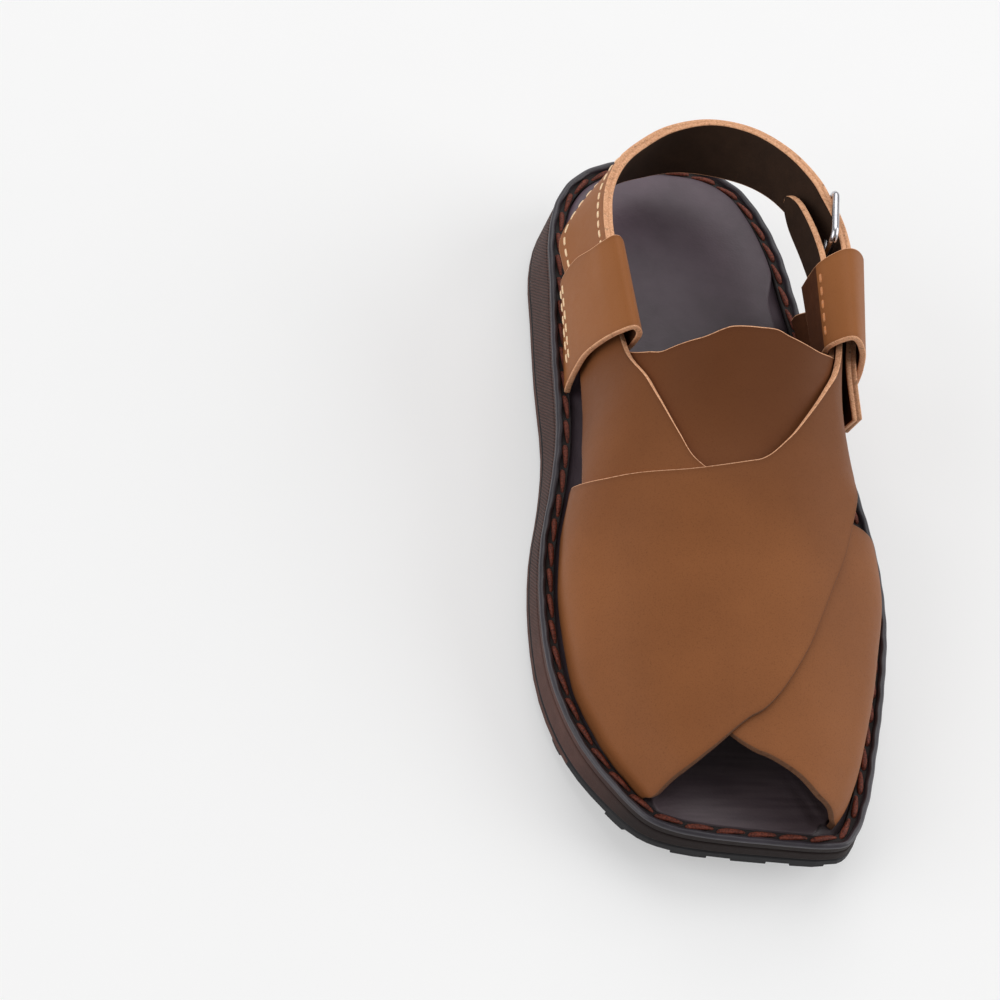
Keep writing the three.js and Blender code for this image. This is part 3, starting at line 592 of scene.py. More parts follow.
def stack(name, rings, finishes, replaces=()):
    """A closed form from rings of the sole, capped by strips from side to side."""
    count = len(rings[0])
    faces = quads(len(rings), count, closed=True)
    for start, flip in ((0, True), ((len(rings) - 1) * count, False)):
        for i in range(count // 2):
            strip = [start + i, start + i + 1, start + (count - i - 1) % count, start + (count - i) % count]
            strip = list(dict.fromkeys(strip))
            faces.append(tuple(reversed(strip)) if flip else tuple(strip))
    return ringed_piece(name, rings, faces, finishes, None, replaces)


def tube(path, radius, sides, flat=1.0, up=(0, 0, 1)):
    """Vertices and faces of a round bar along a path, with domed ends."""
    path = np.asarray(path, float)
    direction = unit(np.gradient(path, axis=0))
    side = unit(np.cross(direction, up))
    rise = unit(np.cross(side, direction))
    swell = np.ones(len(path))
    swell[[0, -1]] = 0.45
    turn = np.arange(sides) * 2 * math.pi / sides
    section = (np.cos(turn)[None, :, None] * side[:, None]
               + flat * np.sin(turn)[None, :, None] * rise[:, None])
    points = path[:, None] + radius * swell[:, None, None] * section
    faces = quads(len(path), sides, closed=True)
    faces += [tuple(range(sides))[::-1], tuple((len(path) - 1) * sides + k for k in range(sides))]
    return points.reshape(-1, 3), faces


def gather(name, parts, finishes, replaces=()):
    """One piece from many small forms."""
    vertices, faces, base = [], [], 0
    for points, rings in parts:
        vertices.append(points)
        faces += [tuple(base + k for k in face) for face in rings]
        base += len(points)
    return new_piece(name, np.concatenate(vertices), faces, finishes, replaces=replaces)


def travelled(points):
    """Distance from the first point to each point."""
    steps = np.linalg.norm(np.diff(points, axis=0), axis=-1)
    return np.cumsum(np.concatenate([np.zeros_like(steps[:1]), steps]), axis=0)


def at_distance(distance, distances, values):
    return np.array([np.interp(distance, distances, column) for column in values.T])


def stitch(start, end, normal, radius, lift):
    """One stitch: a short thread that comes out of the leather and dives back in."""
    t = np.linspace(0, 1, 9)[:, None]
    path = start + (end - start) * t + normal * (np.sin(np.pi * t) ** 0.6 * lift - radius * 0.4)
    return tube(path, radius, sides=8, flat=0.8, up=normal)


def stitch_run(path, normals, length, pitch, radius, lift):
    """Stitches along a path of points."""
    gone = travelled(path)
    parts = []
    for start in np.arange(0.5 * (pitch - length), gone[-1] - length, pitch):
        ends = [at_distance(place, gone, path) for place in (start, start + length)]
        parts.append(stitch(*ends, unit(at_distance(start + length / 2, gone, normals)), radius, lift))
    return parts


def face_line(middle, thickness, u, v):
    """A line on the grain face of a sheet: points and normals at shares of its length and width."""
    normal = slopes(middle)[2]
    u, v = (np.array(part) * (size - 1) for part, size in zip(np.broadcast_arrays(u, v), middle.shape))
    i, j = np.clip(u.astype(int), 0, middle.shape[0] - 2), np.clip(v.astype(int), 0, middle.shape[1] - 2)
    a, b = (u - i)[:, None], (v - j)[:, None]

    def at(values):
        return ((1 - a) * (1 - b) * values[i, j] + a * (1 - b) * values[i + 1, j]
                + (1 - a) * b * values[i, j + 1] + a * b * values[i + 1, j + 1])

    facing = unit(at(normal)) * outer_side(middle)
    return at(middle) + facing * thickness / 2, facing


# Where the finishes change over the shoe, in metres; pairs give where a change starts and is whole
# INSTEP_Y and INSTEP_REACH place the painted shade over the instep.
INSTEP_Y = 0.012
INSTEP_REACH = (0.085, 0.075)
# Painted shade on the cut edges towards the toe.
EDGE_PAINTED_SHADE_Y = (-0.028, -0.045)
# Painted shade on the insole's outer side and waist.
OUTER_SHADE_X = (-0.01, 0.045)
WAIST_SHADE_Y = (0.105, 0.025)
# Painted light at the insole's toe.
TOE_LIGHT_Y = (-0.098, -0.112)
# Painted shade on the sole's side at the toe.
TOE_SHADE_Y = (-0.105, -0.135)
RIBS_Y = (-0.075, -0.03)
# Painted shade: black rubber on the upright side at the toe.
TOE_SHADE_RUBBER_Y = -0.105


# Shader maths

def arithmetic(operation, swapped=False):
    """An operator that adds a Math node to the finish of its value."""
    def apply(value, other):
        pair = (other, value) if swapped else (value, other)
        return value.finish.node("ShaderNodeMath", {"operation": operation}, dict(enumerate(pair)))
    return apply


class Wire:
    """A value in a finish: arithmetic on it adds Math nodes."""

    def __init__(self, finish, socket):
        self.finish = finish
        self.socket = socket

    __add__, __radd__ = arithmetic("ADD"), arithmetic("ADD", swapped=True)
    __sub__, __rsub__ = arithmetic("SUBTRACT"), arithmetic("SUBTRACT", swapped=True)
    __mul__, __rmul__ = arithmetic("MULTIPLY"), arithmetic("MULTIPLY", swapped=True)
    __pow__, __rpow__ = arithmetic("POWER"), arithmetic("POWER", swapped=True)


def linear(colour):
    """A colour picked on screen, 0 to 255, as the linear value that a shader takes."""
    levels = [channel / 255 for channel in colour]
    return tuple(c / 12.92 if c <= 0.04045 else ((c + 0.055) / 1.055) ** 2.4 for c in levels)


class Finish:
    """A material in the making."""

    def __init__(self, name):
        self.material = bpy.data.materials.new(name)
        self.material.use_nodes = True
        self.tree = self.material.node_tree
        self.tree.nodes.clear()

    def node(self, kind, settings=None, sockets=None, out=0):
        made = self.tree.nodes.new(kind)
        for key, value in (settings or {}).items():
            if key == "stops":
                self._stops(made.color_ramp, value)
            else:
                setattr(made, key, value)
        for key, value in (sockets or {}).items():
            target = made.inputs[key]
            if isinstance(value, Wire):
                self.tree.links.new(value.socket, target)
            else:
                target.default_value = value
        return Wire(self, made.outputs[out]) if made.outputs else None

    @staticmethod
    def _stops(ramp, stops):
        while len(ramp.elements) < len(stops):
            ramp.elements.new(0.5)
        for element, (place, colour) in zip(ramp.elements, stops):
            element.position = place
            element.color = colour

    def place(self):
        return self.node("ShaderNodeTexCoord", out="Object")

    def axis(self, number, place=None):
        return self.node("ShaderNodeSeparateXYZ", None, {0: place or self.place()}, out=number)

    def fade(self, value, ends):
        """From 0 at the first end to 1 at the second."""
        return self.node("ShaderNodeMapRange", None,
                         {"Value": value, "From Min": ends[0], "From Max": ends[1]})

    def noise(self, size_mm, detail=3.0, roughness=0.5, stretch=None, distortion=0.0):
        where = self.place()
        if stretch:
            where = self.node("ShaderNodeVectorMath", {"operation": "MULTIPLY"}, {0: where, 1: stretch})
        return self.node("ShaderNodeTexNoise", None, {
            "Vector": where, "Scale": 1000 / size_mm, "Detail": detail, "Roughness": roughness,
            "Distortion": distortion})

    def cells(self, size_mm):
        return self.node("ShaderNodeTexVoronoi", {"feature": "F1"},
                         {"Vector": self.place(), "Scale": 1000 / size_mm}, out="Distance")

    def ramp(self, value, *stops):
        grey = [(place, (level, level, level, 1)) for place, level in stops]
        return self.node("ShaderNodeValToRGB", {"stops": grey}, {"Fac": value})

    def mix(self, factor, first, second):
        first, second = (c if isinstance(c, Wire) else (*c, 1) for c in (first, second))
        return self.node("ShaderNodeMix", {"data_type": "RGBA", "blend_type": "MIX"},
                         {"Factor": factor, 6: first, 7: second}, out=2)

    def bump(self, height, distance_mm, strength, under=None):
        sockets = {"Height": height, "Distance": distance_mm / 1000, "Strength": strength}
        if under is not None:
            sockets["Normal"] = under
        return self.node("ShaderNodeBump", None, sockets)

    def done(self, colour, roughness, normal=None, **constants):
        sockets = {"Base Color": colour, "Roughness": roughness}
        if normal is not None:
            sockets["Normal"] = normal
        sockets.update({key.replace("_", " "): value for key, value in constants.items()})
        surface = self.node("ShaderNodeBsdfPrincipled", None, sockets)
        self.node("ShaderNodeOutputMaterial", None, {"Surface": surface})
        return self.material


def tan_leather(look, name, instep_painted_shade=0.0, tone=0.0, painted_light=0.0):
    """Smooth waxed grain side, a little darker along its cut edges. The straps get painted shade over the
    instep, the tongue more painted shade, and the loops and heel strap a lighter tan as painted light.
    """
    f = Finish(name)
    cloud = f.ramp(f.noise(40, 3, 0.5), (0.35, 0), (0.68, 1))
    body = f.mix(cloud, look.grain_dark, look.grain_light)
    pores = f.ramp(f.noise(0.5, 4, 0.7), (0.28, 0), (0.48, 1))
    body = f.mix((1 - pores) * 0.35, body, look.grain_pore_and_shade)
    fleck = f.ramp(f.noise(2.6, 4, 0.65), (0.50, 0), (0.78, 1))
    body = f.mix(fleck * 0.22, body, look.grain_light)
    near = f.node("ShaderNodeAttribute", {"attribute_name": "edge_near"}, out="Fac")
    body = f.mix(near * 0.25, body, look.grain_pore_and_shade)
    # Painted shade: the straps and tongue are darkened towards the pore colour over the instep.
    apart = (f.axis(0) * (1 / INSTEP_REACH[0])) ** 2 + ((f.axis(1) - INSTEP_Y) * (1 / INSTEP_REACH[1])) ** 2
    instep = f.ramp(f.node("ShaderNodeMath", {"operation": "SQRT"}, {0: apart}), (0.25, 1), (1.0, 0))
    body = f.mix(instep * instep_painted_shade, body, look.grain_pore_and_shade)
    # Painted shade: the tongue is darkened as a whole, for the shadow of the straps crossing over it.
    body = f.mix(tone, body, look.grain_pore_and_shade)
    # Painted light: the loops, heel strap and buckle tab are lightened towards a paler tan for the light from
    # the sides.
    body = f.mix(painted_light, body, look.grain_painted_light)
    roughness = 0.50 + f.noise(3, 3, 0.6) * 0.14 - pores * 0.03
    fine = f.bump(f.noise(0.42, 5, 0.65), 0.08, 0.45)
    creases = f.bump(f.noise(8, 4, 0.55, (1, 0.6, 1), 0.5), 0.4, 0.12, fine)
    return f.done(body, roughness, creases, Specular_IOR_Level=0.12)


def flesh_leather(look):
    """Dark lining or flesh side."""
    f = Finish("lining_leather")
    body = f.mix(f.noise(7, 4, 0.6), look.lining, look.lining_light)
    normal = f.bump(f.noise(0.8, 5, 0.7), 0.2, 0.5)
    return f.done(body, 0.72 + f.noise(2, 2) * 0.12, normal, Specular_IOR_Level=0.2)


def strap_flesh(look):
    """Brown inner side of the single straps."""
    f = Finish("flesh_side")
    body = f.mix(f.noise(4, 5, 0.7), look.flesh_dark, look.flesh_light)
    normal = f.bump(f.noise(0.7, 5, 0.75), 0.25, 0.7)
    return f.done(body, 0.85, normal, Specular_IOR_Level=0.15)


def raw_edge(look):
    """Cut edge of the leather: pale layers of fibre, darkened towards the toe with painted shade."""
    f = Finish("raw_edge")
    fibre = f.noise(0.8, 5, 0.75, (1, 1, 2.2))
    body = f.mix(f.ramp(fibre, (0.35, 0), (0.65, 1)), look.edge_dark, look.edge_light)
    specks = f.ramp(f.noise(1.6, 2, 0.5), (0.60, 0), (0.72, 1))
    body = f.mix(specks * 0.45, body, look.grain_pore_and_shade)
    # Painted shade: edges towards the toe, which face away from the light, are darkened.
    body = f.mix(f.fade(f.axis(1), EDGE_PAINTED_SHADE_Y) * 0.9, body, look.edge_shade)
    normal = f.bump(fibre, 0.2, 0.6)
    return f.done(body, 0.72, normal, Specular_IOR_Level=0.2)


def dark_leather(name, dark, light, roughness, grain_mm, depth_mm, coat, tones=None):
    """Dark grained leather. The tones change its colour from place to place; without them it is scuffed."""
    f = Finish(name)
    cloud = f.ramp(f.noise(22, 4, 0.6), (0.35, 0), (0.7, 1))
    body = f.mix(cloud, dark, light)
    if tones:
        body = tones(f, body)
    else:
        scuff = f.ramp(f.noise(1.3, 5, 0.7, (1, 0.4, 1)), (0.56, 0), (0.75, 1))
        body = f.mix(scuff * 0.18, body, light)
    fine = f.bump(f.cells(grain_mm), depth_mm, 0.4)
    wide = f.bump(f.noise(7, 4, 0.6, distortion=0.8), 0.5, 0.20, fine)
    return f.done(body, roughness + f.noise(4, 3) * 0.12, wide, Coat_Weight=coat, Coat_Roughness=0.35)


def footbed_leather(look):
    """Dark satin leather with painted shade at the waist and outer side, and painted light at the toe in
    straight grain lines.
    """
    def tones(f, body):
        # Painted shade towards the outer side and at the waist, under the straps.
        body = f.mix(f.fade(f.axis(0), OUTER_SHADE_X) * 0.55, body, look.seam_and_shade)
        body = f.mix(f.fade(f.axis(1), WAIST_SHADE_Y) * 0.55, body, look.seam_and_shade)
        # Painted light: the toe is lightened, in straight grain lines.
        lines = f.ramp(f.noise(2.4, 3, 0.6, (0.08, 1, 1)), (0.38, 0), (0.66, 1))
        return f.mix(f.fade(f.axis(1), TOE_LIGHT_Y) * (0.14 + lines * 0.16), body, look.insole_toe_light)

    return dark_leather("insole_leather", look.insole_dark, look.insole_light, 0.46, 0.9, 0.10, 0.12, tones)


def ribbed_side(look):
    """Side of the sole: fine slanting ribs at heel and waist, plainer at the forefoot, nearly black at the toe
    with painted shade.
    """
    f = Finish("ribbed_side")
    spot = f.node("ShaderNodeUVMap", {"uv_map": "UVMap"})
    lean = f.axis(0, spot) - f.axis(1, spot) * look.rib_slant
    phase = lean * (2 * math.pi / look.rib_pitch) + f.noise(5, 3, 0.6) * 2.5
    wave = f.node("ShaderNodeMath", {"operation": "SINE"}, {0: phase}) * 0.5 + 0.5
    where = f.fade(f.axis(1), RIBS_Y)
    body = f.mix(f.noise(6, 4, 0.65), look.side_dark, look.side_light)
    body = f.mix((1 - wave) * where * 0.75, body, look.seam_and_shade)
    specks = f.ramp(f.noise(0.9, 4, 0.7), (0.52, 0), (0.70, 1))
    body = f.mix(specks * 0.30, body, look.side_light)
    # Painted shade: the side is darkened to near black at the toe.
    body = f.mix(f.fade(f.axis(1), TOE_SHADE_Y) * 0.93, body, look.seam_and_shade)
    grain = f.bump(f.noise(0.9, 5, 0.7), 0.30, 0.6)
    normal = f.bump(wave * where, 0.25, 0.8, grain)
    return f.done(body, 0.66 + f.noise(2, 3) * 0.1, normal, Specular_IOR_Level=0.3)


def rubber(look):
    """Dull black rubber."""
    f = Finish("black_rubber")
    body = f.mix(f.noise(9, 4, 0.6), look.rubber_dark, look.rubber_light)
    normal = f.bump(f.noise(1.1, 5, 0.7), 0.2, 0.5)
    return f.done(body, 0.62 + f.noise(3, 3) * 0.15, normal, Specular_IOR_Level=0.35)


def thread(name, colour, shade):
    """Twisted thread."""
    f = Finish(name)
    twist = f.noise(0.7, 3, 0.6, (1, 1, 1.6))
    body = f.mix(f.ramp(twist, (0.35, 0), (0.65, 1)), shade, colour)
    return f.done(body, 0.62, f.bump(twist, 0.25, 0.7), Specular_IOR_Level=0.3)


def bright_metal(look):
    """Polished metal with faint wear."""
    f = Finish("bright_metal")
    body = f.mix(f.noise(3, 3, 0.6), look.metal, look.metal_dark)
    return f.done(body, 0.16 + f.noise(1.5, 3) * 0.12, f.bump(f.noise(0.6, 3), 0.03, 0.4), Metallic=1.0)


FINISHES = {}


def finish(name):
    """The named finish, made once from the settings of the scene."""
    leather, sole = bpy.context.scene.chappal_leather, bpy.context.scene.chappal_sole
    makers = {
        # The loops, heel strap and buckle tab: tan leather with painted light.
        "tan": lambda: tan_leather(leather, "tan_leather", painted_light=0.26),
        "strap": lambda: tan_leather(leather, "strap_leather", leather.instep_painted_shade),
        "tongue": lambda: tan_leather(leather, "tongue_leather", leather.instep_painted_shade, leather.tongue_painted_shade),
        "lining": lambda: flesh_leather(leather),
        "flesh": lambda: strap_flesh(leather),
        "raw": lambda: raw_edge(leather),
        "welt": lambda: dark_leather("welt_leather", sole.welt_dark, sole.welt_light, 0.36, 1.1, 0.12, 0.2),
        "channel": lambda: dark_leather("stitch_channel", sole.seam_and_shade, sole.channel, 0.7, 0.8, 0.2, 0),
        "insole": lambda: footbed_leather(sole),
        "side": lambda: ribbed_side(sole),
        "rubber": lambda: rubber(sole),
        "rust": lambda: thread("rust_thread", sole.rust_thread, sole.rust_shade),
        "cream": lambda: thread("cream_thread", leather.cream_thread, leather.edge_light),
        "tan_thread": lambda: thread("tan_thread", leather.tan_thread, leather.edge_dark),
        "metal": lambda: bright_metal(bpy.context.scene.chappal_buckle),
    }
    if name not in FINISHES:
        FINISHES[name] = makers[name]()
    return FINISHES[name]


# Settings

def colour(name, value, description):
    return bpy.props.FloatVectorProperty(name=name, description=description, subtype="COLOR", size=3,
                                         min=0, max=1, default=linear(value))


def length(name, millimetres, description):
    return bpy.props.FloatProperty(name=name, description=description, default=millimetres / 1000, min=0,
                                   unit="LENGTH", precision=5)


def share(name, value, description):
    return bpy.props.FloatProperty(name=name, description=description, default=value, min=0, max=1,
                                   subtype="FACTOR")


def power(name, value, description):
    return bpy.props.FloatProperty(name=name, description=description, default=value, min=0, unit="POWER")


class ChappalLeather(bpy.types.PropertyGroup):
    """Colours and sizes of the tan leather and its stitches."""

    grain_light: colour("Grain, light", (143, 89, 52), "Lighter tone of the grain side")
    grain_dark: colour("Grain, dark", (132, 81, 47), "Darker tone of the grain side")
    # Also the colour of the painted shade over the instep and on the tongue.
    grain_pore_and_shade: colour("Pores", (74, 37, 16), "Pores and burnished edges")
    # Painted light on the loops and the heel strap.
    grain_painted_light: colour("Grain, fair", (176, 112, 60), "Fairer hide of the loops and the heel strap")
    # Painted shade over the instep of the straps and tongue.
    instep_painted_shade: share("Instep shade", 0.55, "How much darker the instep is dyed")
    # Painted shade on the tongue, under the crossing straps.
    tongue_painted_shade: share("Tongue tone", 0.26, "How much darker the tongue's hide is")
    lining: colour("Lining", (42, 29, 21), "Inner face of the heel strap")
    lining_light: colour("Lining, light", (68, 48, 35), "Worn places of the lining")
    edge_light: colour("Cut edge, light", (244, 190, 150), "Lighter fibres of the cut edges")
    edge_dark: colour("Cut edge, dark", (200, 140, 100), "Darker fibres of the cut edges")
    flesh_light: colour("Flesh side, light", (96, 56, 33), "Lighter tone of the single straps' inner side")
    flesh_dark: colour("Flesh side, dark", (60, 32, 19), "Darker tone of the single straps' inner side")
    # Painted shade on the cut edges towards the toe.
    edge_shade: colour("Burnished edge", (70, 39, 20), "Darkened edges of the front straps")
    cream_thread: colour("Cream thread", (252, 234, 192), "Thread of the strap and inner loop seams")
    tan_thread: colour("Tan thread", (206, 128, 70), "Thread of the outer loop seam")
    stitch_length: length("Stitch length", 3.9, "Length of one cream stitch")
    stitch_pitch: length("Stitch pitch", 5.6, "Distance between cream stitches")
    stitch_radius: length("Thread radius", 0.60, "Radius of the cream thread")
    edge_corner: length("Edge rounding", 0.45, "Rounding of the cut edges")


class ChappalSole(bpy.types.PropertyGroup):
    """Colours and sizes of the sole, welt and insole."""

    welt_light: colour("Welt, light", (56, 50, 58), "Lighter tone of the rolled welt")
    welt_dark: colour("Welt, dark", (38, 33, 40), "Darker tone of the rolled welt")
    channel: colour("Channel", (34, 26, 26), "Bed of the sole stitch")
    insole_light: colour("Insole, light", (96, 78, 90), "Lighter tone of the insole")
    insole_dark: colour("Insole, dark", (78, 61, 72), "Darker tone of the insole")
    # Painted light at the toe of the insole.
    insole_toe_light: colour("Insole, worn", (128, 114, 116), "Worn toe end of the insole")
    side_light: colour("Side, light", (98, 67, 59), "Ribs of the sole's side")
    side_dark: colour("Side, dark", (60, 39, 35), "Body of the sole's side")
    # Also the colour of the painted shade on the sole's side at the toe and on the insole.
    seam_and_shade: colour("Side, seam", (22, 14, 13), "Grooves and joints")
    rubber_light: colour("Rubber, light", (44, 43, 45), "Worn places of the rubber")
    rubber_dark: colour("Rubber, dark", (24, 24, 26), "Body of the rubber")
    rust_thread: colour("Rust thread", (132, 66, 48), "Thread of the sole stitch")
    rust_shade: colour("Rust thread, shade", (66, 30, 23), "Shade between the plies")
    rib_pitch: length("Rib pitch", RIB_PITCH, "Distance between ribs")
    rib_slant: share("Rib slant", 1.0, "How far a rib leans for its height")
    stitch_length: length("Stitch length", 10.0, "Length of one sole stitch")
    stitch_pitch: length("Stitch pitch", 10.5, "Distance between sole stitches")
    stitch_radius: length("Stitch radius", 0.95, "Radius of the sole thread")
    roll_wave: length("Roll waviness", 0.16, "How far the stitches pull the rolled welt in and out")


class ChappalBuckle(bpy.types.PropertyGroup):
    """Colours and sizes of the buckle."""

    metal: colour("Metal", (216, 214, 218), "Polished metal")
    metal_dark: colour("Metal, dark", (176, 176, 182), "Duller places of the metal")
    bar: length("Bar", BUCKLE_BAR + 0.3, "Thickness of the buckle's bars")


class ChappalStage(bpy.types.PropertyGroup):
    """Camera, floor and light."""

    floor: colour("Floor", (247, 247, 247), "Pale floor")
    glow: share("Floor glow", 0.40, "How much light the lit floor gives off")
    left: power("Left light", 46, "Strength of the light from the inner side")
    right: power("Right light", 58, "Strength of the light from the outer side")
    rear: power("Rear light", 56, "Strength of the high light behind the heel")
    sky: share("Surroundings", 0.30, "Strength of the even light")
    lens: bpy.props.FloatProperty(name="Lens", description="Focal length of the camera",
                                  default=100.8, min=1, unit="CAMERA")


# Pieces

LUG_RIM_HEIGHT = 0.4
LUG_BEVEL = 0.6


def build_outsole():
    """A copy of the lugged rubber with broken lug edges; its upright side shares the wedge's finish, but stays
    black rubber at the toe as painted shade.
    """
    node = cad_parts["outsole"]
    form = bmesh.new()
    form.from_mesh(node.data)
    form.transform(node.matrix_world)
    bmesh.ops.remove_doubles(form, verts=form.verts, dist=1e-6)
    bmesh.ops.dissolve_limit(form, angle_limit=math.radians(0.5), verts=form.verts, edges=form.edges)

    def height(vertex):
        _, y, z = vertex.co * 1000 - RECENTRE
        return z - float(spring_at(y))

    rims = [edge for edge in form.edges if max(height(v) for v in edge.verts) < LUG_RIM_HEIGHT
            and edge.calc_face_angle(0) > math.radians(50)]
    bmesh.ops.bevel(form, geom=rims, offset=LUG_BEVEL / 1000, segments=2, profile=0.5, affect="EDGES",
                    clamp_overlap=True)
    mesh = bpy.data.meshes.new("lugged_rubber")
    mesh.materials.append(finish("rubber"))
    mesh.materials.append(finish("side"))
    for face in form.faces:
        upright = abs(face.normal.z) < 0.5 and min(height(v) for v in face.verts) > LUG_DEPTH - 0.5
        # Painted shade: at the toe the upright side keeps the black rubber.
        upright = upright and face.calc_center_median().y > TOE_SHADE_RUBBER_Y
        face.material_index = 1 if upright else 0
    form.to_mesh(mesh)
    form.free()
    put_on_shoe("lugged_rubber", mesh, ("outsole",))


def build_midsole():
    def bottom(y):
        return spring_at(y) + LUG_DEPTH + RUBBER + CLEARANCE

    def top(y):
        return welt_top(y) - WELT_THICKNESS - CLEARANCE

    def level(part):
        return lambda y: bottom(y) + (top(y) - bottom(y)) * part

    rounding = ((JOINT_STEP, 0), (0.1, 0.25), (0, 0.6))
    rings = [ring(inset, lambda y, r=rise: bottom(y) + r) for inset, rise in rounding]
    rings += [ring(0, level(part)) for part in (0.2, 0.35, 0.5, 0.65, 0.8)]
    rings += [ring(inset, lambda y, r=rise: top(y) - r) for inset, rise in reversed(rounding)]
    piece = stack("wedge", rings, [finish("side")], replaces=("midsole",))


def roll_section(steps):
    """The welt's section as inset and drop pairs: a half-round roll, then the stitch channel."""
    radius = WELT_ROLL / 2
    turn = np.linspace(1.12 * math.pi, 0.05 * math.pi, steps)
    arc = [(radius + (radius + 0.05) * math.cos(a), 1.3 - (radius + 0.05) * math.sin(a)) for a in turn]
    return ([(JOINT_STEP / 2, WELT_THICKNESS), (0.12, WELT_THICKNESS - 0.2), (0.12, 2.0)] + arc
            + [(WELT_ROLL + 0.1, CHANNEL_DEPTH - 0.05), (WELT_ROLL + 0.5, CHANNEL_DEPTH + 0.1),
               (STITCH_INSET, CHANNEL_DEPTH + 0.15), (WELT_WIDTH - 0.4, CHANNEL_DEPTH),
               (WELT_WIDTH, CHANNEL_DEPTH - 0.1), (WELT_WIDTH, WELT_THICKNESS)])


def stitch_phase(pitch):
    """Where each point of the outline stands within its sole stitch, in turns."""
    return travelled(ring(STITCH_INSET, welt_top)) / pitch


def build_welt():
    sole = bpy.context.scene.chappal_sole
    section = roll_section(11)
    phase = 2 * math.pi * stitch_phase(sole.stitch_pitch * 1000)
    wave = 1000 * sole.roll_wave * (np.sin(phase) + 0.5 * np.sin(ROUND / 17.0))
    rings, looks = [], []
    for inset, drop in section:
        rolled = -0.1 < inset < WELT_ROLL + 0.2 and drop < 1.95
        inwards = np.clip(inset / WELT_ROLL, 0, 1) if rolled else 0
        drops = drop + (wave * 0.35 if rolled else 0)
        insets = inset + wave * (0.35 + 0.9 * inwards) * (1 if rolled else 0)
        rings.append(ring(insets, lambda y, d=drops: welt_top(y) - d))
        looks.append(0 if rolled else 2 if inset < 1 else 1)
    faces = quads(len(rings), len(EDGE), closed=True, round_again=True)
    finishes = [finish(name) for name in ("welt", "channel", "side")]
    piece = ringed_piece("rolled_welt", rings, faces, finishes, np.repeat(looks, len(EDGE)), ("welt",))


def sole_stitch(start, end, aside, radius):
    """A slanting stitch of thick thread: full where it leaves its hole, thinner where it dives."""
    t = np.linspace(0, 1, 12)[:, None]
    rise = np.array([0, 0, 1.0])
    path = (start + (end - start) * t + aside * (t - 0.5) * 1.1
            + rise * (1.1 * np.sin(np.pi * t ** 0.8) ** 0.6 - 0.55))
    points, faces = tube(path, 1.0, sides=10, flat=0.75, up=rise)
    swell = np.interp(np.linspace(0, 1, 12), (0, 0.25, 0.6, 1), (0.75, 1.12, 0.95, 0.45))
    points = path.repeat(10, axis=0) + (points - path.repeat(10, axis=0)) * radius * swell.repeat(10)[:, None]
    return points, faces


def build_sole_stitches():
    sole = bpy.context.scene.chappal_sole
    line = ring(STITCH_INSET, lambda y: welt_top(y) - CHANNEL_DEPTH)
    line = np.vstack([line, line[:1]])
    gone = travelled(line)
    pitch = gone[-1] / round(gone[-1] / (1000 * sole.stitch_pitch))
    length = 1000 * sole.stitch_length
    parts = []
    for start in np.arange(0, gone[-1] - 1, pitch):
        a, b = (at_distance(place % gone[-1], gone, line) for place in (start, start + length))
        inwards = unit(np.array([-(b - a)[1], (b - a)[0], 0]))
        core = np.array([2.0, np.clip(a[1], -90, 90), 0])
        inwards = inwards * np.sign(np.dot(inwards, core - [a[0], a[1], 0]))
        parts.append(sole_stitch(a, b, inwards, 1000 * sole.stitch_radius))
    piece = gather("sole_stitches", parts, [finish("rust")])


def pad_inset():
    """Inset of the padded footbed at each point of the outline."""
    x, y = EDGE[:, 0], EDGE[:, 1]
    along, side = along_of(y), x / (BALL_WIDTH / 2)
    heel = 1 - smoothstep(along, 0.16, 0.225)
    toe = smoothstep(side, -0.69, -0.56) * (1 - smoothstep(side, 0.34, 0.47)) * (along > 0.5)
    beside = STRAP_INSET + CLEARANCE + PAD_GAP
    return beside + (WELT_WIDTH + 2 * CLEARANCE - beside) * np.maximum(heel, toe)


def build_insole():
    """The padded footbed: its edge stands up beside the straps and lies level with the welt at the toe."""
    pad = pad_inset()
    level = smoothstep(along_of(EDGE[:, 1]), 0.90, 0.955)
    base = WELT_WIDTH + CLEARANCE
    margin = [(base, WELT_THICKNESS), (base, INSOLE_MARGIN)]
    edge = [(0.0, INSOLE_MARGIN, 3.4), (0.1, 2.2, 2.0), (0.3, 1.2, 1.9), (0.7, 0.5, 1.8), (1.4, 0.05, 1.7),
            (2.4, -0.2, 1.5), (5, -0.6, 0.9), (PAD_SHOULDER, -INSOLE_CROWN, 0.1)]
    rings = [ring(inset, lambda y, d=drop: welt_top(y) - d) for inset, drop in margin]
    rings += [ring(pad + inset, lambda y, d=drop + (toe_drop - drop) * level: welt_top(y) - d)
              for inset, drop, toe_drop in edge]
    last = rings[-1]
    for part in (0.25, 0.5, 0.75, 0.93):
        inner = last[:, :2] + (SPINE - last[:, :2]) * part
        rings.append(np.column_stack([inner, welt_top(inner[:, 1]) + INSOLE_CROWN]))
    piece = stack("footbed", rings, [finish("insole")], replaces=("insole",))


def layer_over(y, over):
    climb = smoothstep(over, 0.02, 0.10)
    settle = np.where(over > 0.45, 1 - smoothstep(y, -12, 16), 1)
    return (STRAP - SINK) * climb * settle


def build_upper():
    for name, table, across, height_over in (("inner_cross_strap", UNDER_STRAP, 80, lambda y, over: 0 * y),
                                             ("outer_cross_strap", OVER_STRAP, 90, layer_over)):
        middle = strap_middle(table, 150, across, STRAP, height_over)
        sheet(name, middle, STRAP, "strap", "flesh", "upper")


def build_tongue():
    middle = strap_middle(TONGUE_ROWS, 140, 60, TONGUE, lambda y, over: 0 * y - TONGUE_GAP - TONGUE)
    sheet("inner_tongue", middle, TONGUE, "tongue", "flesh", "tongue")


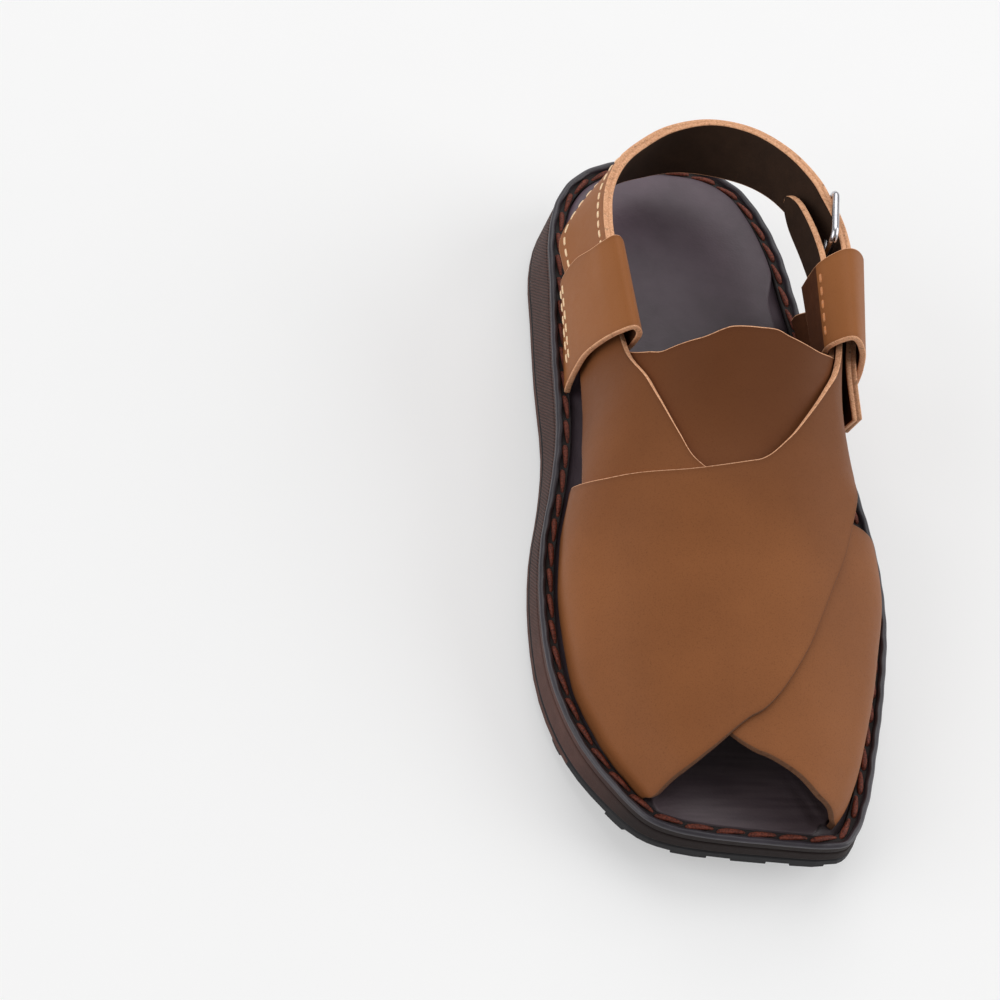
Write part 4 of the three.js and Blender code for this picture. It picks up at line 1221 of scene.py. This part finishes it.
def seam_stitches(name, lines, look="cream"):
    leather = bpy.context.scene.chappal_leather
    parts = []
    for path, normals in lines:
        parts += stitch_run(path, normals, 1000 * leather.stitch_length, 1000 * leather.stitch_pitch,
                            1000 * leather.stitch_radius, SEAM_LIFT)
    piece = gather(name, parts, [finish(look)])


def build_loops():
    inner = band_middle(INNER_LOOP, ("rear", "fore"), 120, 40)
    outer = band_middle(OUTER_LOOP, ("rear", "fore"), 120, 40)
    sheet("folded_loop_inner", inner, LOOP, "tan", "flesh", "loop_inner")
    # Painted shade: the outer loop's inner leg takes the dark flesh finish on its grain face.
    sheet("folded_loop_outer", outer, LOOP, "tan", "flesh", "loop_outer", painted_shade_from=0.83)
    run = np.linspace(0.06, 0.94, 60)
    seam_stitches("loop_inner_stitches", [face_line(inner, LOOP, u, run) for u in (0.20, 0.245)])
    outer_seam = face_line(outer, LOOP, 0.81, np.linspace(0.12, 0.9, 60))
    seam_stitches("loop_outer_stitches", [outer_seam], "tan_thread")


def outer_side(middle):
    """1 where the grid's own normal points away from the foot, else -1."""
    i, j = middle.shape[0] // 2, middle.shape[1] // 2
    du, dv = middle[i + 1, j] - middle[i, j], middle[i, j + 1] - middle[i, j]
    core = np.array([0, min(middle[i, j, 1], 75), 30])
    return 1 if np.dot(np.cross(du, dv), middle[i, j] - core) > 0 else -1


def build_heel_strap():
    middle = band_middle(HEEL_STRAP_ROWS, ("top", "low"), 220, 26)
    sheet("heel_strap_leather", middle, HEEL_STRAP, "tan", "lining", "heel_strap", groove=0.3)
    run = np.linspace(0.10, 0.60, 240)
    seam_stitches("heel_strap_stitches", [face_line(middle, HEEL_STRAP, run, v) for v in (0.13, 0.87)])


def build_guard():
    middle = band_middle(GUARD_ROWS, ("top", "low"), 60, 24, rounding=0.22)
    sheet("buckle_tab", middle, GUARD, "tan", "lining", "buckle_guard")


BUCKLE_CORNER = 3.4
BAR_SIDES = 14
HOOK_BAR = 0.75
HOOK_GAP = 0.35


def build_buckle():
    bar = 1000 * bpy.context.scene.chappal_buckle.bar
    front, rear = (place_row(row, "bar") for row in BUCKLE)
    run, up = unit(rear - front), np.array([0, 0, 1.0])
    half_length = np.linalg.norm(rear - front) / 2 - BUCKLE_CORNER
    half_height = (BUCKLE_HEIGHT - bar) / 2 - BUCKLE_CORNER
    path = []
    for length_side, height_side, start in ((1, 1, 0), (-1, 1, 90), (-1, -1, 180), (1, -1, 270)):
        for angle in np.radians(np.linspace(start, start + 90, 9)):
            path.append((front + rear) / 2
                        + run * (length_side * half_length + BUCKLE_CORNER * math.cos(angle))
                        + up * (height_side * half_height + BUCKLE_CORNER * math.sin(angle)))
    path = np.array(path)
    side = unit(np.cross(run, up))
    out = np.cross(unit(np.roll(path, -1, axis=0) - np.roll(path, 1, axis=0)), side)
    turn = np.arange(BAR_SIDES) * 2 * math.pi / BAR_SIDES
    points = path[:, None] + bar / 2 * (np.cos(turn)[None, :, None] * out[:, None]
                                        + np.sin(turn)[None, :, None] * side)
    vertices = points.reshape(-1, 3)
    faces = outward(vertices, quads(len(path), BAR_SIDES, closed=True, round_again=True))
    frame_piece = new_piece("buckle_ring", vertices, faces, [finish("metal")], replaces=("buckle_frame",))
    tip = rear + np.array([bar / 2 + PRONG_RADIUS + 2 * CLEARANCE, PRONG_RADIUS, 0])
    reach = unit(tip - front)
    start = front + reach * (bar / 2 + CLEARANCE)
    t = np.linspace(0, 1, 24)[:, None]
    pin = tube(start + (tip - start) * t, PRONG_RADIUS * 0.95, BAR_SIDES)
    turns = np.linspace(HOOK_GAP, 2 * math.pi - HOOK_GAP, 20)
    hook = [front + (bar / 2 + 0.55) * (math.cos(a) * reach + math.sin(a) * side) for a in turns]
    pin_piece = gather("buckle_pin", [pin, tube(hook, HOOK_BAR, 10)], [finish("metal")], ("buckle_prong",))


FLOOR_SIZE = 6
FLOOR_DARKENED = 0.42
LAMP_AIM = Vector((0, 0, 0.03))
# Lamps: name, place and size in metres, and the setting that holds its strength
LAMPS = (
    ("left_light", (-2.8, -0.5, 1.5), 3.0, "left"),
    ("right_light", (2.8, -0.1, 1.7), 3.0, "right"),
    ("rear_light", (0.2, 2.2, 2.6), 3.8, "rear"),
)
SENSOR_WIDTH = 36


def build_floor(stage):
    mesh = bpy.data.meshes.new("floor")
    corners = [(x * FLOOR_SIZE, y * FLOOR_SIZE, 0) for x, y in ((-1, -1), (1, -1), (1, 1), (-1, 1))]
    mesh.from_pydata(corners, [], [(0, 1, 2, 3)])
    f = Finish("pale_floor")
    lit = f.mix(f.noise(60, 2), stage.floor, [0.98 * c for c in stage.floor])
    mesh.materials.append(f.done(f.mix(FLOOR_DARKENED, lit, (0, 0, 0)), 0.9, Specular_IOR_Level=0.0,
                                 Emission_Color=(1, 1, 1, 1), Emission_Strength=stage.glow))
    floor = bpy.data.objects.new("floor", mesh)
    bpy.context.scene.collection.objects.link(floor)


def build_stage():
    scene = bpy.context.scene
    stage = scene.chappal_stage
    build_floor(stage)
    scene.world = bpy.data.worlds.new("surroundings")
    scene.world.use_nodes = True
    surroundings = scene.world.node_tree.nodes["Background"].inputs
    surroundings["Color"].default_value = (1, 1, 1, 1)
    surroundings["Strength"].default_value = stage.sky
    for name, place, size, strength in LAMPS:
        lamp = bpy.data.lights.new(name, "AREA")
        lamp.shape, lamp.size, lamp.energy = "DISK", size, getattr(stage, strength)
        holder = bpy.data.objects.new(name, lamp)
        holder.location = place
        holder.rotation_euler = (LAMP_AIM - Vector(place)).to_track_quat("-Z", "Y").to_euler()
        scene.collection.objects.link(holder)
    view = bpy.data.cameras.new("view")
    view.lens, view.sensor_width = stage.lens, SENSOR_WIDTH
    camera = bpy.data.objects.new("view", view)
    turn = Matrix(CAMERA_AXES).transposed().to_4x4()
    camera.matrix_world = Matrix.Translation((Vector(CAMERA_PLACE) + RECENTRE) / 1000) @ turn
    scene.collection.objects.link(camera)
    scene.camera = camera
    scene.view_settings.view_transform = "Standard"
    scene.view_settings.look = "None"


# Operators

class CHAPPAL_OT_outsole(bpy.types.Operator):
    """Break the edges of the lugged rubber and give it its finishes"""

    bl_idname = "chappal.outsole"
    bl_label = "Outsole"

    def execute(self, context):
        build_outsole()
        return {"FINISHED"}


class CHAPPAL_OT_wedge(bpy.types.Operator):
    """Build the ribbed side of the sole"""

    bl_idname = "chappal.wedge"
    bl_label = "Wedge"

    def execute(self, context):
        build_midsole()
        return {"FINISHED"}


class CHAPPAL_OT_welt(bpy.types.Operator):
    """Build the rolled welt and its channel"""

    bl_idname = "chappal.welt"
    bl_label = "Welt"

    def execute(self, context):
        build_welt()
        return {"FINISHED"}


class CHAPPAL_OT_sole_stitches(bpy.types.Operator):
    """Sew the welt to the sole"""

    bl_idname = "chappal.sole_stitches"
    bl_label = "Sole stitches"

    def execute(self, context):
        build_sole_stitches()
        return {"FINISHED"}


class CHAPPAL_OT_footbed(bpy.types.Operator):
    """Build the padded footbed"""

    bl_idname = "chappal.footbed"
    bl_label = "Footbed"

    def execute(self, context):
        build_insole()
        return {"FINISHED"}


class CHAPPAL_OT_cross_straps(bpy.types.Operator):
    """Build the crossing front straps"""

    bl_idname = "chappal.cross_straps"
    bl_label = "Cross straps"

    def execute(self, context):
        build_upper()
        return {"FINISHED"}


class CHAPPAL_OT_tongue(bpy.types.Operator):
    """Build the inner tongue"""

    bl_idname = "chappal.tongue"
    bl_label = "Tongue"

    def execute(self, context):
        build_tongue()
        return {"FINISHED"}


class CHAPPAL_OT_loops(bpy.types.Operator):
    """Build the folded loops and their seams"""

    bl_idname = "chappal.loops"
    bl_label = "Loops"

    def execute(self, context):
        build_loops()
        return {"FINISHED"}


class CHAPPAL_OT_heel_strap(bpy.types.Operator):
    """Build the heel strap and its seams"""

    bl_idname = "chappal.heel_strap"
    bl_label = "Heel strap"

    def execute(self, context):
        build_heel_strap()
        return {"FINISHED"}


class CHAPPAL_OT_buckle_tab(bpy.types.Operator):
    """Build the leather tab behind the buckle"""

    bl_idname = "chappal.buckle_tab"
    bl_label = "Buckle tab"

    def execute(self, context):
        build_guard()
        return {"FINISHED"}


class CHAPPAL_OT_buckle(bpy.types.Operator):
    """Build the metal buckle and its pin"""

    bl_idname = "chappal.buckle"
    bl_label = "Buckle"

    def execute(self, context):
        build_buckle()
        return {"FINISHED"}


class CHAPPAL_OT_stage(bpy.types.Operator):
    """Set up the floor, the lights and the camera"""

    bl_idname = "chappal.stage"
    bl_label = "Stage"

    def execute(self, context):
        build_stage()
        return {"FINISHED"}


OPERATORS = (
    CHAPPAL_OT_outsole,
    CHAPPAL_OT_wedge,
    CHAPPAL_OT_welt,
    CHAPPAL_OT_sole_stitches,
    CHAPPAL_OT_footbed,
    CHAPPAL_OT_cross_straps,
    CHAPPAL_OT_tongue,
    CHAPPAL_OT_loops,
    CHAPPAL_OT_heel_strap,
    CHAPPAL_OT_buckle_tab,
    CHAPPAL_OT_buckle,
    CHAPPAL_OT_stage,
)
GROUPS = {
    "chappal_leather": ChappalLeather,
    "chappal_sole": ChappalSole,
    "chappal_buckle": ChappalBuckle,
    "chappal_stage": ChappalStage,
}


class CHAPPAL_PT_panel(bpy.types.Panel):
    """Settings and pieces of the chappal"""

    bl_label = "Chappal"
    bl_idname = "CHAPPAL_PT_panel"
    bl_space_type = "VIEW_3D"
    bl_region_type = "UI"
    bl_category = "Chappal"

    def draw(self, context):
        for group in GROUPS:
            box = self.layout.box()
            for name in getattr(context.scene, group).bl_rna.properties.keys():
                if name not in ("rna_type", "name"):
                    box.prop(getattr(context.scene, group), name)
        for operator in OPERATORS:
            self.layout.operator(operator.bl_idname)


def register():
    for cls in (*GROUPS.values(), *OPERATORS, CHAPPAL_PT_panel):
        bpy.utils.register_class(cls)
    for name, group in GROUPS.items():
        setattr(bpy.types.Scene, name, bpy.props.PointerProperty(type=group))


def unregister():
    for name in GROUPS:
        delattr(bpy.types.Scene, name)
    for cls in (CHAPPAL_PT_panel, *reversed(OPERATORS), *reversed(list(GROUPS.values()))):
        bpy.utils.unregister_class(cls)


def main():
    register()
    for operator in OPERATORS:
        getattr(bpy.ops.chappal, operator.bl_idname.split(".")[1])()


if __name__ == "__main__":
    main()
